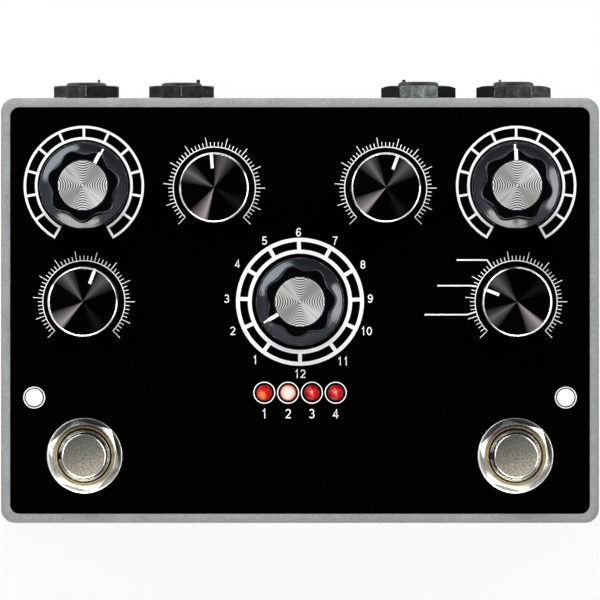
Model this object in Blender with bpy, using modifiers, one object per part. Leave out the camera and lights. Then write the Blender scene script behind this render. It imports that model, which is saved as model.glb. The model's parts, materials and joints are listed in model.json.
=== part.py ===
"""A delay pedal in a die-cast case: jacks and a power inlet at the back, seven knobs, six lamps
and two foot switches on its face. Metres, +Z up, +Y towards the jacks, the floor at z = 0."""

import math

import bmesh
import bpy
from mathutils import Matrix, Vector

# Clearances, overlaps of joined shapes, and how far a cutter overruns
SEAT_GAP = 0.0003
SHAFT_GAP = 0.00015
OVERLAP = 0.0006
OVERRUN = 0.002
ROUND_SHARE = 1 - math.sqrt(0.5)

# Die-cast case
CASE_LENGTH = 0.173
CASE_WIDTH = 0.1235
CASE_HEIGHT = 0.055
CASE_CORNER = 0.004
CASE_EDGE = 0.0017
CASE_WALL = 0.0025
CASE_ROOF = 0.003
CASE_DRAFT_ANGLE = math.radians(1.1)
CAVITY_CORNER = 0.002
CAVITY_EDGE = 0.0015
BOSS_RADIUS = 0.0045
BOSS_INSET = 0.0065
BOSS_BORE_DEPTH = 0.013

# Base plate with its locating lip, screws and feet
BASE_THICKNESS = 0.0025
BASE_EDGE = 0.0008
LIP_THICKNESS = 0.0015
LIP_HEIGHT = 0.0015
SCREW_RADIUS = 0.0015
SCREW_LENGTH = 0.012
SCREW_HEAD_RADIUS = 0.0031
SCREW_HEAD_RIM = 0.0004
SCREW_SLOT_WIDTH = 0.0009
SCREW_SLOT_LENGTH = 0.0034
SCREW_SLOT_DEPTH = 0.0011
FOOT_HEIGHT = 0.003
FOOT_RADIUS = 0.0065
FOOT_EDGE = 0.0012
FOOT_INSET_X = 0.0215
FOOT_INSET_Y = 0.0135

# Face plate, let into the roof
FACE_MARGIN = 0.00365
FACE_THICKNESS = 0.0005
FACE_CORNER = 0.0026

# Columns and rows of the face and the rear wall, as shares of half the case's length and width
COLUMN_SHARES = {
    "outer": 0.7145,
    "inner": 0.2832,
    "footswitch": 0.7121,
    "status_lamp": 0.8786,
    "outer_jack": 0.7110,
    "inner_jack": 0.3942,
}
ROW_SHARES = {
    "large_knob": 0.5765,
    "small_knob": 0.5668,
    "middle": 0.0405,
    "footswitch": -0.6721,
    "head_lamp": -0.3806,
    "status_lamp": -0.4032,
}
HEAD_LAMP_PITCH = 0.0068

# Potentiometers and rotary switches
CONTROL_DEPTH = 0.0085
POT_RADIUS = 0.0082
POT_BUSHING_RADIUS = 0.0040
ROTARY_RADIUS = 0.0120
ROTARY_BUSHING_RADIUS = 0.0048
BUSHING_LENGTH = 0.0073
CONTROL_NUT_THICKNESS = 0.002
CONTROL_NUT_WALL = 0.0018
TERMINAL_WIDTH = 0.0012
TERMINAL_REACH = 0.0006
TERMINAL_HEIGHT = 0.004
TERMINAL_PITCH = 0.005
SHAFT_RADIUS = 0.003
SHAFT_RISE = 0.0115
SHAFT_ROOT_DEPTH = 0.007
SHAFT_FLAT_LENGTH = 0.006
SHAFT_FLAT_DEPTH = 0.0012

# Knobs, measured up from the face
KNOB_LIFT = 0.001
HUB_LIFT = 0.0052
BORE_TOP = 0.0122
SET_SCREW_RADIUS = 0.0015
SET_SCREW_HEIGHT = 0.0082

# Large knob: a round skirt that narrows to a seven-lobed grip, with a metal cap in its top
LOBES = 7
LARGE_KNOB_TOP = 0.0160
SKIRT_RADIUS = 0.0126
SKIRT_RIM = 0.0011
SKIRT_TOP = 0.0028
SKIRT_TOP_RADIUS = 0.0108
GRIP_FOOT = 0.0036
GRIP_RADIUS = 0.0097
GRIP_TOP_RADIUS = 0.0093
LOBE_DEPTH = 0.0007
GRIP_EDGE = 0.0007
LARGE_CAVITY_RADIUS = 0.0078
CAP_RADIUS = 0.00698
CAP_THICKNESS = 0.0008
POINTER_WIDTH = 0.0009
POINTER_DEPTH = 0.0003

# Small knob: a turned cone-topped cylinder with a bright cut rim
SMALL_KNOB_TOP = 0.0150
SMALL_KNOB_RADIUS = 0.01004
SMALL_KNOB_TAPER = 0.00012
RIM_WIDTH = 0.0007
RIM_DROP = 0.0006
DISH_DEPTH = 0.0003
SMALL_CAVITY_RADIUS = 0.0078
SMALL_POINTER_START = 0.0055

# Foot switches
SWITCH_BUSHING_RADIUS = 0.0073
SWITCH_BORE_RADIUS = 0.00665
SWITCH_BUSHING_RISE = 0.0045
SWITCH_KEY_WIDTH = 0.0019
SWITCH_WASHER_RADIUS = 0.01078
SWITCH_WASHER_THICKNESS = 0.0008
SWITCH_NUT_FLATS = 0.0185
SWITCH_NUT_THICKNESS = 0.0026
SWITCH_NUT_FACE_RADIUS = 0.00865
SWITCH_NUT_TURN = math.radians(14)
SWITCH_LOCK_NUT_THICKNESS = 0.002
SWITCH_NECK = 0.003
SWITCH_HOUSING_LENGTH = 0.0175
SWITCH_HOUSING_WIDTH = 0.0172
SWITCH_HOUSING_HEIGHT = 0.012
SWITCH_LUG_PITCH = 0.0050
SWITCH_LUG_WIDTH = 0.0022
SWITCH_LUG_THICKNESS = 0.0008
SWITCH_LUG_LENGTH = 0.0040
BUTTON_RADIUS = 0.0063
BUTTON_RISE = 0.0130
BUTTON_EDGE = 0.0010
BUTTON_ROOT_DEPTH = 0.0030
BUTTON_TRAVEL = 0.003
BUTTON_BOTTOM_ROOM = 0.0008

# Lamps
LAMP_RADIUS = 0.00235
STATUS_LAMP_RADIUS = 0.0025
LAMP_RISE = 0.0016
LAMP_FLANGE = 0.0004
LAMP_FLANGE_THICKNESS = 0.001
LAMP_LEG_THICKNESS = 0.0005
LAMP_LEG_PITCH = 0.0025

# Circuit board, under the controls and over the jacks
BOARD_SIDE_ROOM = 0.0135
BOARD_REAR_ROOM = 0.01075
BOARD_SWITCH_ROOM = 0.0039
BOARD_THICKNESS = 0.0016
CHIP_LENGTH = 0.0100
CHIP_WIDTH = 0.0062
CHIP_HEIGHT = 0.0020
PROCESSOR_SIDE = 0.0140
CAPACITOR_RADIUS = 0.0032
CAPACITOR_HEIGHT = 0.0070
HEADER_LENGTH = 0.0230
HEADER_WIDTH = 0.0050
HEADER_HEIGHT = 0.0060
CHIP_SHARES = ((0.36, -0.28), (0.36, 0.04), (0.16, -0.28))
PROCESSOR_SHARE = -0.06
CAPACITOR_SHARES = ((0.24, -0.10), (0.24, 0.06), (0.12, 0.16))
HEADER_SHARES = ((0.36, -0.44),)

# Jacks and power inlet
JACK_NUT_FLATS = 0.0186
JACK_NUT_THICKNESS = 0.0034
JACK_NUT_FACE_RADIUS = 0.0098
JACK_NOSE_RADIUS = 0.0058
JACK_NOSE_PROUD = 0.0011
JACK_NOSE_EDGE = 0.0004
JACK_KEY_SIDE = 0.0008
JACK_KEY_PROUD = 0.0007
JACK_KEY_OFFSET = 0.0040
JACK_BORE_RADIUS = 0.00325
JACK_BACK_WALL = 0.0050
JACK_BODY_WIDTH = 0.0160
JACK_BODY_RISE = 0.0088
JACK_BODY_DROP = 0.0080
JACK_BODY_LENGTH = 0.0270
INLET_WIDTH = 0.0096
INLET_DROP = 0.0052
INLET_LENGTH = 0.0130
INLET_COLLAR_RADIUS = 0.0045
INLET_COLLAR_LENGTH = 0.0022
INLET_BORE_RADIUS = 0.00315
INLET_BORE_DEPTH = 0.0095
INLET_PIN_RADIUS = 0.00105
INLET_PIN_SHORT = 0.0012

# Facets
HEXAGON = 6
LOBE_STEPS = 6
NUT_STEPS = 18
KNOB_STEPS = 18
SMALL_STEPS = 14
TINY_STEPS = 12
HOLE_STEPS = 8
CORNER_STEPS = 3
SMOOTH_ANGLE = math.radians(32)
MERGE = 0.00001

# Levels and places, worked out from the sizes
BASE_LOW = FOOT_HEIGHT + SEAT_GAP
BASE_HIGH = BASE_LOW + BASE_THICKNESS
RIM = BASE_HIGH + SEAT_GAP
FACE = BASE_LOW + CASE_HEIGHT
CEILING = FACE - CASE_ROOF
MOUNT_DEPTH = CASE_ROOF + SEAT_GAP
BOARD_DEPTH = MOUNT_DEPTH + CONTROL_DEPTH + SEAT_GAP
JACK_AXIS = FACE - BOARD_DEPTH - BOARD_THICKNESS - SEAT_GAP - JACK_BODY_RISE
LEAN = math.tan(CASE_DRAFT_ANGLE)
COLUMNS = {name: share * CASE_LENGTH / 2 for name, share in COLUMN_SHARES.items()}
ROWS = {name: share * CASE_WIDTH / 2 for name, share in ROW_SHARES.items()}
BOARD_LENGTH = CASE_LENGTH - 2 * BOARD_SIDE_ROOM
BOARD_FRONT = ROWS["footswitch"] + SWITCH_HOUSING_WIDTH / 2 + BOARD_SWITCH_ROOM
BOARD_WIDTH = CASE_WIDTH / 2 - BOARD_REAR_ROOM - BOARD_FRONT


def corner_radius(across_flats):
    """The radius of a hexagon's corners."""
    return across_flats / 2 / math.cos(math.radians(30))


def rear_wall(height):
    """How far back the rear wall's outer face stands at a height."""
    return CASE_WIDTH / 2 - (height - RIM) * LEAN


JACK_SEAT = rear_wall(JACK_AXIS - corner_radius(JACK_NUT_FLATS)) + SEAT_GAP
JACK_INNER_SEAT = rear_wall(JACK_AXIS + JACK_BODY_RISE) - CASE_WALL - SEAT_GAP
REAR_REACH = JACK_SEAT + JACK_NUT_THICKNESS + JACK_NOSE_PROUD + JACK_KEY_PROUD
CASE_SHIFT = -(REAR_REACH - CASE_WIDTH / 2) / 2

for leftover in list(bpy.data.objects):
    bpy.data.objects.remove(leftover, do_unlink=True)
PEDAL = bpy.data.collections.new("delay_pedal")
bpy.context.scene.collection.children.link(PEDAL)
CUTTERS = bpy.data.collections.new("cutters")
bpy.context.scene.collection.children.link(CUTTERS)
CUTTERS.hide_render = True


def material(name, colour, roughness, metallic):
    """A Principled material of one colour."""
    made = bpy.data.materials.new(name)
    made.use_nodes = True
    shader = made.node_tree.nodes["Principled BSDF"]
    shader.inputs["Base Color"].default_value = (*colour, 1.0)
    shader.inputs["Roughness"].default_value = roughness
    shader.inputs["Metallic"].default_value = metallic
    return made


GREY_PAINT = material("grey_paint", (0.35, 0.355, 0.35), 0.45, 0.3)
BLACK_PRINT = material("black_print", (0.004, 0.004, 0.004), 0.4, 0.0)
BLACK_PLASTIC = material("black_plastic", (0.01, 0.01, 0.012), 0.2, 0.0)
NUT_PLASTIC = material("nut_plastic", (0.03, 0.035, 0.034), 0.45, 0.0)
BLACK_ANODISED = material("black_anodised", (0.02, 0.02, 0.022), 0.3, 1.0)
SPUN_ALUMINIUM = material("spun_aluminium", (0.8, 0.8, 0.79), 0.3, 1.0)
NICKEL = material("nickel", (0.72, 0.70, 0.66), 0.2, 1.0)
STEEL = material("steel", (0.5, 0.5, 0.5), 0.35, 1.0)
RUBBER = material("rubber", (0.02, 0.02, 0.02), 0.8, 0.0)
BOARD_GREEN = material("board_green", (0.02, 0.12, 0.05), 0.4, 0.0)
RED_LENS = material("red_lens", (0.45, 0.02, 0.01), 0.15, 0.0)
WHITE_LENS = material("white_lens", (0.9, 0.9, 0.9), 0.3, 0.0)


def empty(name, location, parent=None, rotation=(0.0, 0.0, 0.0)):
    """A place for pieces to hang from, such as a joint's axis."""
    made = bpy.data.objects.new(name, None)
    PEDAL.objects.link(made)
    made.parent = parent
    made.location = location
    made.rotation_euler = rotation
    return made


def piece(made, finish, parent, location=(0.0, 0.0, 0.0)):
    """Places an object as a piece of the pedal."""
    PEDAL.objects.link(made)
    made.data.materials.append(finish)
    made.parent = parent
    made.location = location
    return made


def group(name):
    """A collection of cutters for one piece."""
    made = bpy.data.collections.new(name)
    CUTTERS.children.link(made)
    return made


def tool(made, where, parent, location=(0.0, 0.0, 0.0), rotation=(0.0, 0.0, 0.0)):
    """Places an object as a helper that cuts, joins or trims a piece."""
    where.objects.link(made)
    made.parent = parent
    made.location = location
    made.rotation_euler = rotation
    made.hide_render = True
    made.display_type = "WIRE"
    return made


def combine(target, operation, other):
    """A Boolean of a piece with one tool or with a group of tools."""
    modifier = target.modifiers.new(operation.lower(), "BOOLEAN")
    modifier.operation = operation
    modifier.solver = "EXACT"
    if isinstance(other, bpy.types.Collection):
        modifier.operand_type = "COLLECTION"
        modifier.collection = other
    else:
        modifier.object = other


def mesh_object(name, shape):
    """An object that holds a bmesh's shape."""
    mesh = bpy.data.meshes.new(name)
    shape.to_mesh(mesh)
    shape.free()
    return bpy.data.objects.new(name, mesh)


def block(name, length, width, low, high, x=0.0, y=0.0):
    """A box from one height to another."""
    shape = bmesh.new()
    scale = Matrix.Diagonal((length, width, high - low, 1.0))
    middle = Matrix.Translation((x, y, (low + high) / 2))
    bmesh.ops.create_cube(shape, size=1.0, matrix=middle @ scale)
    return mesh_object(name, shape)


def cylinder(name, radius, low, high, steps, x=0.0, y=0.0):
    """An upright cylinder from one height to another."""
    shape = bmesh.new()
    middle = Matrix.Translation((x, y, (low + high) / 2))
    bmesh.ops.create_cone(
        shape, cap_ends=True, segments=steps, radius1=radius, radius2=radius, depth=high - low, matrix=middle
    )
    return mesh_object(name, shape)


def turned(name, profile, steps, closed=False):
    """A profile of (radius, height) points turned round Z, which runs down its outer side."""
    count = len(profile)
    edges = [(index, index + 1) for index in range(count - 1)]
    if closed:
        edges.append((count - 1, 0))
    mesh = bpy.data.meshes.new(name)
    mesh.from_pydata([(radius, 0.0, height) for radius, height in profile], edges, [])
    made = bpy.data.objects.new(name, mesh)
    screw = made.modifiers.new("turn", "SCREW")
    screw.steps = steps
    screw.render_steps = steps
    screw.use_merge_vertices = True
    screw.merge_threshold = MERGE
    return made


def slab(name, length, width, low, high, corner, lean=0.0, top_edge=0.0, bottom_edge=0.0):
    """A box with round upright corners, walls that lean in as they rise, and round top or bottom edges.

    length and width are those of its lower end."""
    shape = bmesh.new()
    bmesh.ops.create_cube(shape, size=1.0)
    for corner_point in shape.verts:
        inset = (high - low) * lean if corner_point.co.z > 0 else 0.0
        corner_point.co.x *= length - 2 * inset
        corner_point.co.y *= width - 2 * inset
        corner_point.co.z = high if corner_point.co.z > 0 else low
    middle = (low + high) / 2

    def edges_at(first_is_high, last_is_high):
        wanted = sorted((first_is_high, last_is_high))
        return [e for e in shape.edges if sorted(v.co.z > middle for v in e.verts) == wanted]

    bmesh.ops.bevel(
        shape, geom=edges_at(False, True), offset=corner, segments=CORNER_STEPS, profile=0.5, affect="EDGES"
    )
    for edge_radius, is_high in ((top_edge, True), (bottom_edge, False)):
        if edge_radius:
            bmesh.ops.bevel(
                shape,
                geom=edges_at(is_high, is_high),
                offset=edge_radius,
                segments=CORNER_STEPS,
                profile=0.5,
                affect="EDGES",
            )
    return mesh_object(name, shape)


def hex_nut(name, across_flats, thickness, bore_radius, face_radius, helpers, parent, turn=0.0):
    """A hexagon nut standing on its parent's origin, its outer corners turned down to a round face."""
    corner = corner_radius(across_flats)
    shape = bmesh.new()
    height = thickness + OVERRUN
    place = Matrix.Rotation(turn, 4, "Z") @ Matrix.Translation((0.0, 0.0, height / 2))
    bmesh.ops.create_cone(
        shape, cap_ends=True, segments=HEXAGON, radius1=corner, radius2=corner, depth=height, matrix=place
    )
    nut = mesh_object(name, shape)
    outside = corner + OVERRUN
    drop = (outside - face_radius) * math.tan(math.radians(30))
    profile = (
        (face_radius, thickness),
        (outside, thickness - drop),
        (outside, -OVERRUN),
        (bore_radius, -OVERRUN),
        (bore_radius, thickness),
    )
    trim = tool(turned(name + "_trim", profile, NUT_STEPS, closed=True), helpers, parent)
    combine(nut, "INTERSECT", trim)
    return nut


CASE = empty("case_middle", (0.0, CASE_SHIFT, 0.0))
TRIMS = group("trims")


def face_places():
    """Every hole of the face as (x, y, radius)."""
    holes = [(x, y, bushing + SEAT_GAP) for _, x, y, bushing in control_places()]
    holes += [(x, ROWS["footswitch"], SWITCH_BUSHING_RADIUS + SEAT_GAP) for _, x in footswitch_places()]
    holes += [(x, y, radius + SEAT_GAP) for _, x, y, radius in lamp_places()]
    return holes


def control_places():
    """Every control's name, place and bushing radius."""
    pots = (
        ("tone", -COLUMNS["outer"], ROWS["large_knob"]),
        ("volume", COLUMNS["outer"], ROWS["large_knob"]),
        ("wear", -COLUMNS["inner"], ROWS["small_knob"]),
        ("speed", COLUMNS["inner"], ROWS["small_knob"]),
        ("swell", -COLUMNS["outer"], ROWS["middle"]),
    )
    switches = (("mode", COLUMNS["outer"], ROWS["middle"]), ("selector", 0.0, ROWS["middle"]))
    places = [(name, x, y, POT_BUSHING_RADIUS) for name, x, y in pots]
    places += [(name, x, y, ROTARY_BUSHING_RADIUS) for name, x, y in switches]
    return places


def footswitch_places():
    """Each foot switch's side and column."""
    return (("left", -COLUMNS["footswitch"]), ("right", COLUMNS["footswitch"]))


def lamp_places():
    """Every lamp's name, place and lens radius."""
    places = []
    for index in range(4):
        x = (index - 1.5) * HEAD_LAMP_PITCH
        places.append((f"head_lamp_{index + 1}", x, ROWS["head_lamp"], LAMP_RADIUS))
    for side, sign in (("left", -1), ("right", 1)):
        x = sign * COLUMNS["status_lamp"]
        places.append((f"status_lamp_{side}", x, ROWS["status_lamp"], STATUS_LAMP_RADIUS))
    return places


def corners(inset_x, inset_y):
    """The four places that lie this far in from the case's sides."""
    x = CASE_LENGTH / 2 - inset_x
    y = CASE_WIDTH / 2 - inset_y
    return [(-x, -y), (x, -y), (-x, y), (x, y)]


# Where each knob's pointer stands at rest, in degrees round from +X
POINTER_ANGLES = {
    "tone": 62.0,
    "volume": 92.0,
    "wear": 94.6,
    "speed": 69.5,
    "swell": 69.5,
    "mode": 159.0,
    "selector": 210.0,
}
LARGE_KNOBS = ("tone", "volume", "selector")


def make_enclosure():
    """The case: a drafted shell with screw bosses, a recessed roof and holes for all that it carries."""
    shell = piece(
        slab("enclosure", CASE_LENGTH, CASE_WIDTH, RIM, FACE, CASE_CORNER, LEAN, top_edge=CASE_EDGE),
        GREY_PAINT,
        CASE,
    )
    hollow = group("enclosure_hollow")
    grow = 2 * (OVERRUN * LEAN - CASE_WALL)
    cavity = slab(
        "cavity",
        CASE_LENGTH + grow,
        CASE_WIDTH + grow,
        RIM - OVERRUN,
        CEILING,
        CAVITY_CORNER,
        LEAN,
        top_edge=CAVITY_EDGE,
    )
    combine(shell, "DIFFERENCE", tool(cavity, hollow, CASE))
    bosses = group("enclosure_bosses")
    bores = group("enclosure_bores")
    for index, (x, y) in enumerate(corners(BOSS_INSET, BOSS_INSET)):
        boss = cylinder(f"boss_{index}", BOSS_RADIUS, RIM, CEILING + OVERLAP, TINY_STEPS, x, y)
        tool(boss, bosses, CASE)
        bore_radius = SCREW_RADIUS + SEAT_GAP
        bore_top = RIM + BOSS_BORE_DEPTH
        bore = cylinder(f"boss_bore_{index}", bore_radius, RIM - OVERRUN, bore_top, TINY_STEPS, x, y)
        tool(bore, bores, CASE)
    combine(shell, "UNION", bosses)
    combine(shell, "DIFFERENCE", bores)
    pocket = slab(
        "face_pocket",
        CASE_LENGTH - 2 * FACE_MARGIN + 2 * SEAT_GAP,
        CASE_WIDTH - 2 * FACE_MARGIN + 2 * SEAT_GAP,
        FACE - FACE_THICKNESS - SEAT_GAP,
        FACE + OVERRUN,
        FACE_CORNER + SEAT_GAP,
    )
    combine(shell, "DIFFERENCE", tool(pocket, hollow, CASE))
    holes = group("face_holes")
    for index, (x, y, radius) in enumerate(face_places()):
        steps = SMALL_STEPS if radius > SWITCH_BUSHING_RADIUS else TINY_STEPS
        hole = cylinder(f"face_hole_{index}", radius, CEILING - OVERRUN, FACE + OVERRUN, steps, x, y)
        tool(hole, holes, CASE)
    combine(shell, "DIFFERENCE", holes)
    rear_holes = group("rear_holes")
    reach = CASE_WALL + OVERRUN
    for name, x, _ in jack_places():
        jack_hole = cylinder(f"{name}_hole", JACK_NOSE_RADIUS + SEAT_GAP, -reach, reach, SMALL_STEPS)
        tool(jack_hole, rear_holes, jack_seat(name, x))
    inlet_hole = cylinder("inlet_hole", INLET_COLLAR_RADIUS + SEAT_GAP, -reach, reach, SMALL_STEPS)
    tool(inlet_hole, rear_holes, jack_seat("inlet", 0.0))
    combine(shell, "DIFFERENCE", rear_holes)
    return holes


def make_face_plate(holes):
    """The thin printed plate in the roof's recess."""
    plate = slab(
        "face_plate",
        CASE_LENGTH - 2 * FACE_MARGIN,
        CASE_WIDTH - 2 * FACE_MARGIN,
        FACE - FACE_THICKNESS,
        FACE,
        FACE_CORNER,
    )
    combine(piece(plate, BLACK_PRINT, CASE), "DIFFERENCE", holes)


def screw_profile(grow, low, high):
    """A countersunk screw or its hole, head down, from one height to another."""
    shank = SCREW_RADIUS + grow
    head = SCREW_HEAD_RADIUS + grow
    head_top = BASE_LOW + SCREW_HEAD_RIM
    neck = head_top + head - shank
    return ((0.0, high), (shank, high), (shank, neck), (head, head_top), (head, low), (0.0, low))


def make_base_plate():
    """The plate that closes the case, with a lip inside the walls and a countersunk hole at each boss."""
    plate = piece(
        slab("base_plate", CASE_LENGTH, CASE_WIDTH, BASE_LOW, BASE_HIGH, CASE_CORNER, bottom_edge=BASE_EDGE),
        GREY_PAINT,
        CASE,
    )
    lips = group("base_lip")
    inset = CASE_WALL + SEAT_GAP + LIP_HEIGHT * LEAN
    lip_length = CASE_LENGTH - 2 * inset
    lip_width = CASE_WIDTH - 2 * inset
    low = BASE_HIGH - OVERLAP
    high = BASE_HIGH + LIP_HEIGHT
    lip = tool(slab("lip", lip_length, lip_width, low, high, CAVITY_CORNER), lips, CASE)
    inside = slab(
        "lip_inside",
        lip_length - 2 * LIP_THICKNESS,
        lip_width - 2 * LIP_THICKNESS,
        low - OVERRUN,
        high + OVERRUN,
        CAVITY_CORNER,
    )
    combine(lip, "DIFFERENCE", tool(inside, TRIMS, CASE))
    clear = group("lip_clearances")
    screw_holes = group("base_holes")
    for index, (x, y) in enumerate(corners(BOSS_INSET, BOSS_INSET)):
        side = 2 * (BOSS_INSET + BOSS_RADIUS + SEAT_GAP)
        corner_x = math.copysign(CASE_LENGTH / 2, x)
        corner_y = math.copysign(CASE_WIDTH / 2, y)
        notch = block(f"lip_notch_{index}", side, side, low - OVERRUN, high + OVERRUN, corner_x, corner_y)
        tool(notch, clear, CASE)
        profile = screw_profile(SEAT_GAP, BASE_LOW - OVERRUN, BASE_HIGH + OVERRUN)
        tool(turned(f"base_hole_{index}", profile, TINY_STEPS), screw_holes, CASE, (x, y, 0.0))
        make_screw(f"base_screw_{index + 1}", x, y)
    combine(lip, "DIFFERENCE", clear)
    combine(plate, "UNION", lip)
    combine(plate, "DIFFERENCE", screw_holes)


def make_screw(name, x, y):
    """A countersunk cross-head screw, head down, in the base plate and a boss."""
    low = BASE_LOW + SEAT_GAP
    profile = screw_profile(0.0, low, low + SCREW_LENGTH)
    screw = piece(turned(name, profile, TINY_STEPS), STEEL, CASE, (x, y, 0.0))
    slots = group(name + "_slots")
    for length, width in ((SCREW_SLOT_LENGTH, SCREW_SLOT_WIDTH), (SCREW_SLOT_WIDTH, SCREW_SLOT_LENGTH)):
        slot = block(f"{name}_slot", length, width, low - OVERRUN, low + SCREW_SLOT_DEPTH, x, y)
        tool(slot, slots, CASE)
    combine(screw, "DIFFERENCE", slots)


def make_feet():
    """Four soft pads under the base plate."""
    profile = (
        (0.0, FOOT_HEIGHT),
        (FOOT_RADIUS, FOOT_HEIGHT),
        (FOOT_RADIUS, FOOT_EDGE),
        (FOOT_RADIUS - ROUND_SHARE * FOOT_EDGE, ROUND_SHARE * FOOT_EDGE),
        (FOOT_RADIUS - FOOT_EDGE, 0.0),
        (0.0, 0.0),
    )
    for index, (x, y) in enumerate(corners(FOOT_INSET_X, FOOT_INSET_Y)):
        piece(turned(f"rubber_foot_{index + 1}", profile, TINY_STEPS), RUBBER, CASE, (x, y, 0.0))


def make_controls():
    """Each potentiometer or rotary switch with its shaft and its knob."""
    for name, x, y, bushing in control_places():
        place = empty(f"{name}_place", (x, y, FACE), CASE)
        angle = math.radians(POINTER_ANGLES[name])
        axis = empty(f"{name}_axis", (0.0, 0.0, 0.0), place, (0.0, 0.0, angle))
        make_control_body(name, place, bushing)
        make_shaft(name, axis)
        if name in LARGE_KNOBS:
            make_large_knob(name, axis)
        else:
            make_small_knob(name, axis)


def make_control_body(name, place, bushing):
    """A round can under the roof, with its bushing and nut through the face and its terminals below."""
    rotary = bushing == ROTARY_BUSHING_RADIUS
    radius = ROTARY_RADIUS if rotary else POT_RADIUS
    bore = SHAFT_RADIUS + SHAFT_GAP
    bottom = -MOUNT_DEPTH - CONTROL_DEPTH
    bushing_top = BUSHING_LENGTH - MOUNT_DEPTH
    profile = (
        (0.0, -SHAFT_ROOT_DEPTH - SEAT_GAP),
        (bore, -SHAFT_ROOT_DEPTH - SEAT_GAP),
        (bore, bushing_top),
        (bushing, bushing_top),
        (bushing, -MOUNT_DEPTH),
        (radius, -MOUNT_DEPTH),
        (radius, bottom),
        (0.0, bottom),
    )
    suffix = "switch" if rotary else "pot"
    steps = SMALL_STEPS if rotary else TINY_STEPS
    body = piece(turned(f"{name}_{suffix}", profile, steps), STEEL, place)
    extras = group(f"{name}_{suffix}_extras")
    nut_top = SEAT_GAP + CONTROL_NUT_THICKNESS
    nut = cylinder(f"{name}_nut", bushing + CONTROL_NUT_WALL, SEAT_GAP, nut_top, HEXAGON)
    nut_bore = cylinder(f"{name}_nut_bore", (bore + bushing) / 2, -OVERRUN, nut_top + OVERRUN, steps)
    combine(tool(nut, extras, place), "DIFFERENCE", tool(nut_bore, TRIMS, place))
    low = bottom + OVERLAP
    inner = radius / 2
    outer = radius + TERMINAL_REACH
    for index in range(3):
        blade = block(
            f"{name}_blade_{index}",
            TERMINAL_WIDTH,
            outer - inner,
            low,
            low + TERMINAL_HEIGHT,
            (index - 1) * TERMINAL_PITCH,
            -(outer + inner) / 2,
        )
        tool(blade, extras, place)
    combine(body, "UNION", extras)


def make_shaft(name, axis):
    """A control's shaft, with the flat that its knob's screw bears on."""
    profile = (
        (0.0, SHAFT_RISE),
        (SHAFT_RADIUS, SHAFT_RISE),
        (SHAFT_RADIUS, -SHAFT_ROOT_DEPTH),
        (0.0, -SHAFT_ROOT_DEPTH),
    )
    shaft = piece(turned(f"{name}_shaft", profile, TINY_STEPS), STEEL, axis)
    flat = block(
        f"{name}_shaft_flat",
        2 * SHAFT_FLAT_DEPTH,
        2 * (SHAFT_RADIUS + OVERRUN),
        SHAFT_RISE - SHAFT_FLAT_LENGTH,
        SHAFT_RISE + OVERRUN,
        -SHAFT_RADIUS,
    )
    combine(shaft, "DIFFERENCE", tool(flat, TRIMS, axis))


def set_screw_hole(name, outside, axis):
    """A radial hole for the screw that holds a knob, on the side away from its pointer."""
    hole = cylinder(f"{name}_screw_hole", SET_SCREW_RADIUS, 0.0, outside + OVERRUN, HOLE_STEPS)
    return tool(hole, TRIMS, axis, (0.0, 0.0, SET_SCREW_HEIGHT), (0.0, math.radians(-90), 0.0))


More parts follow.
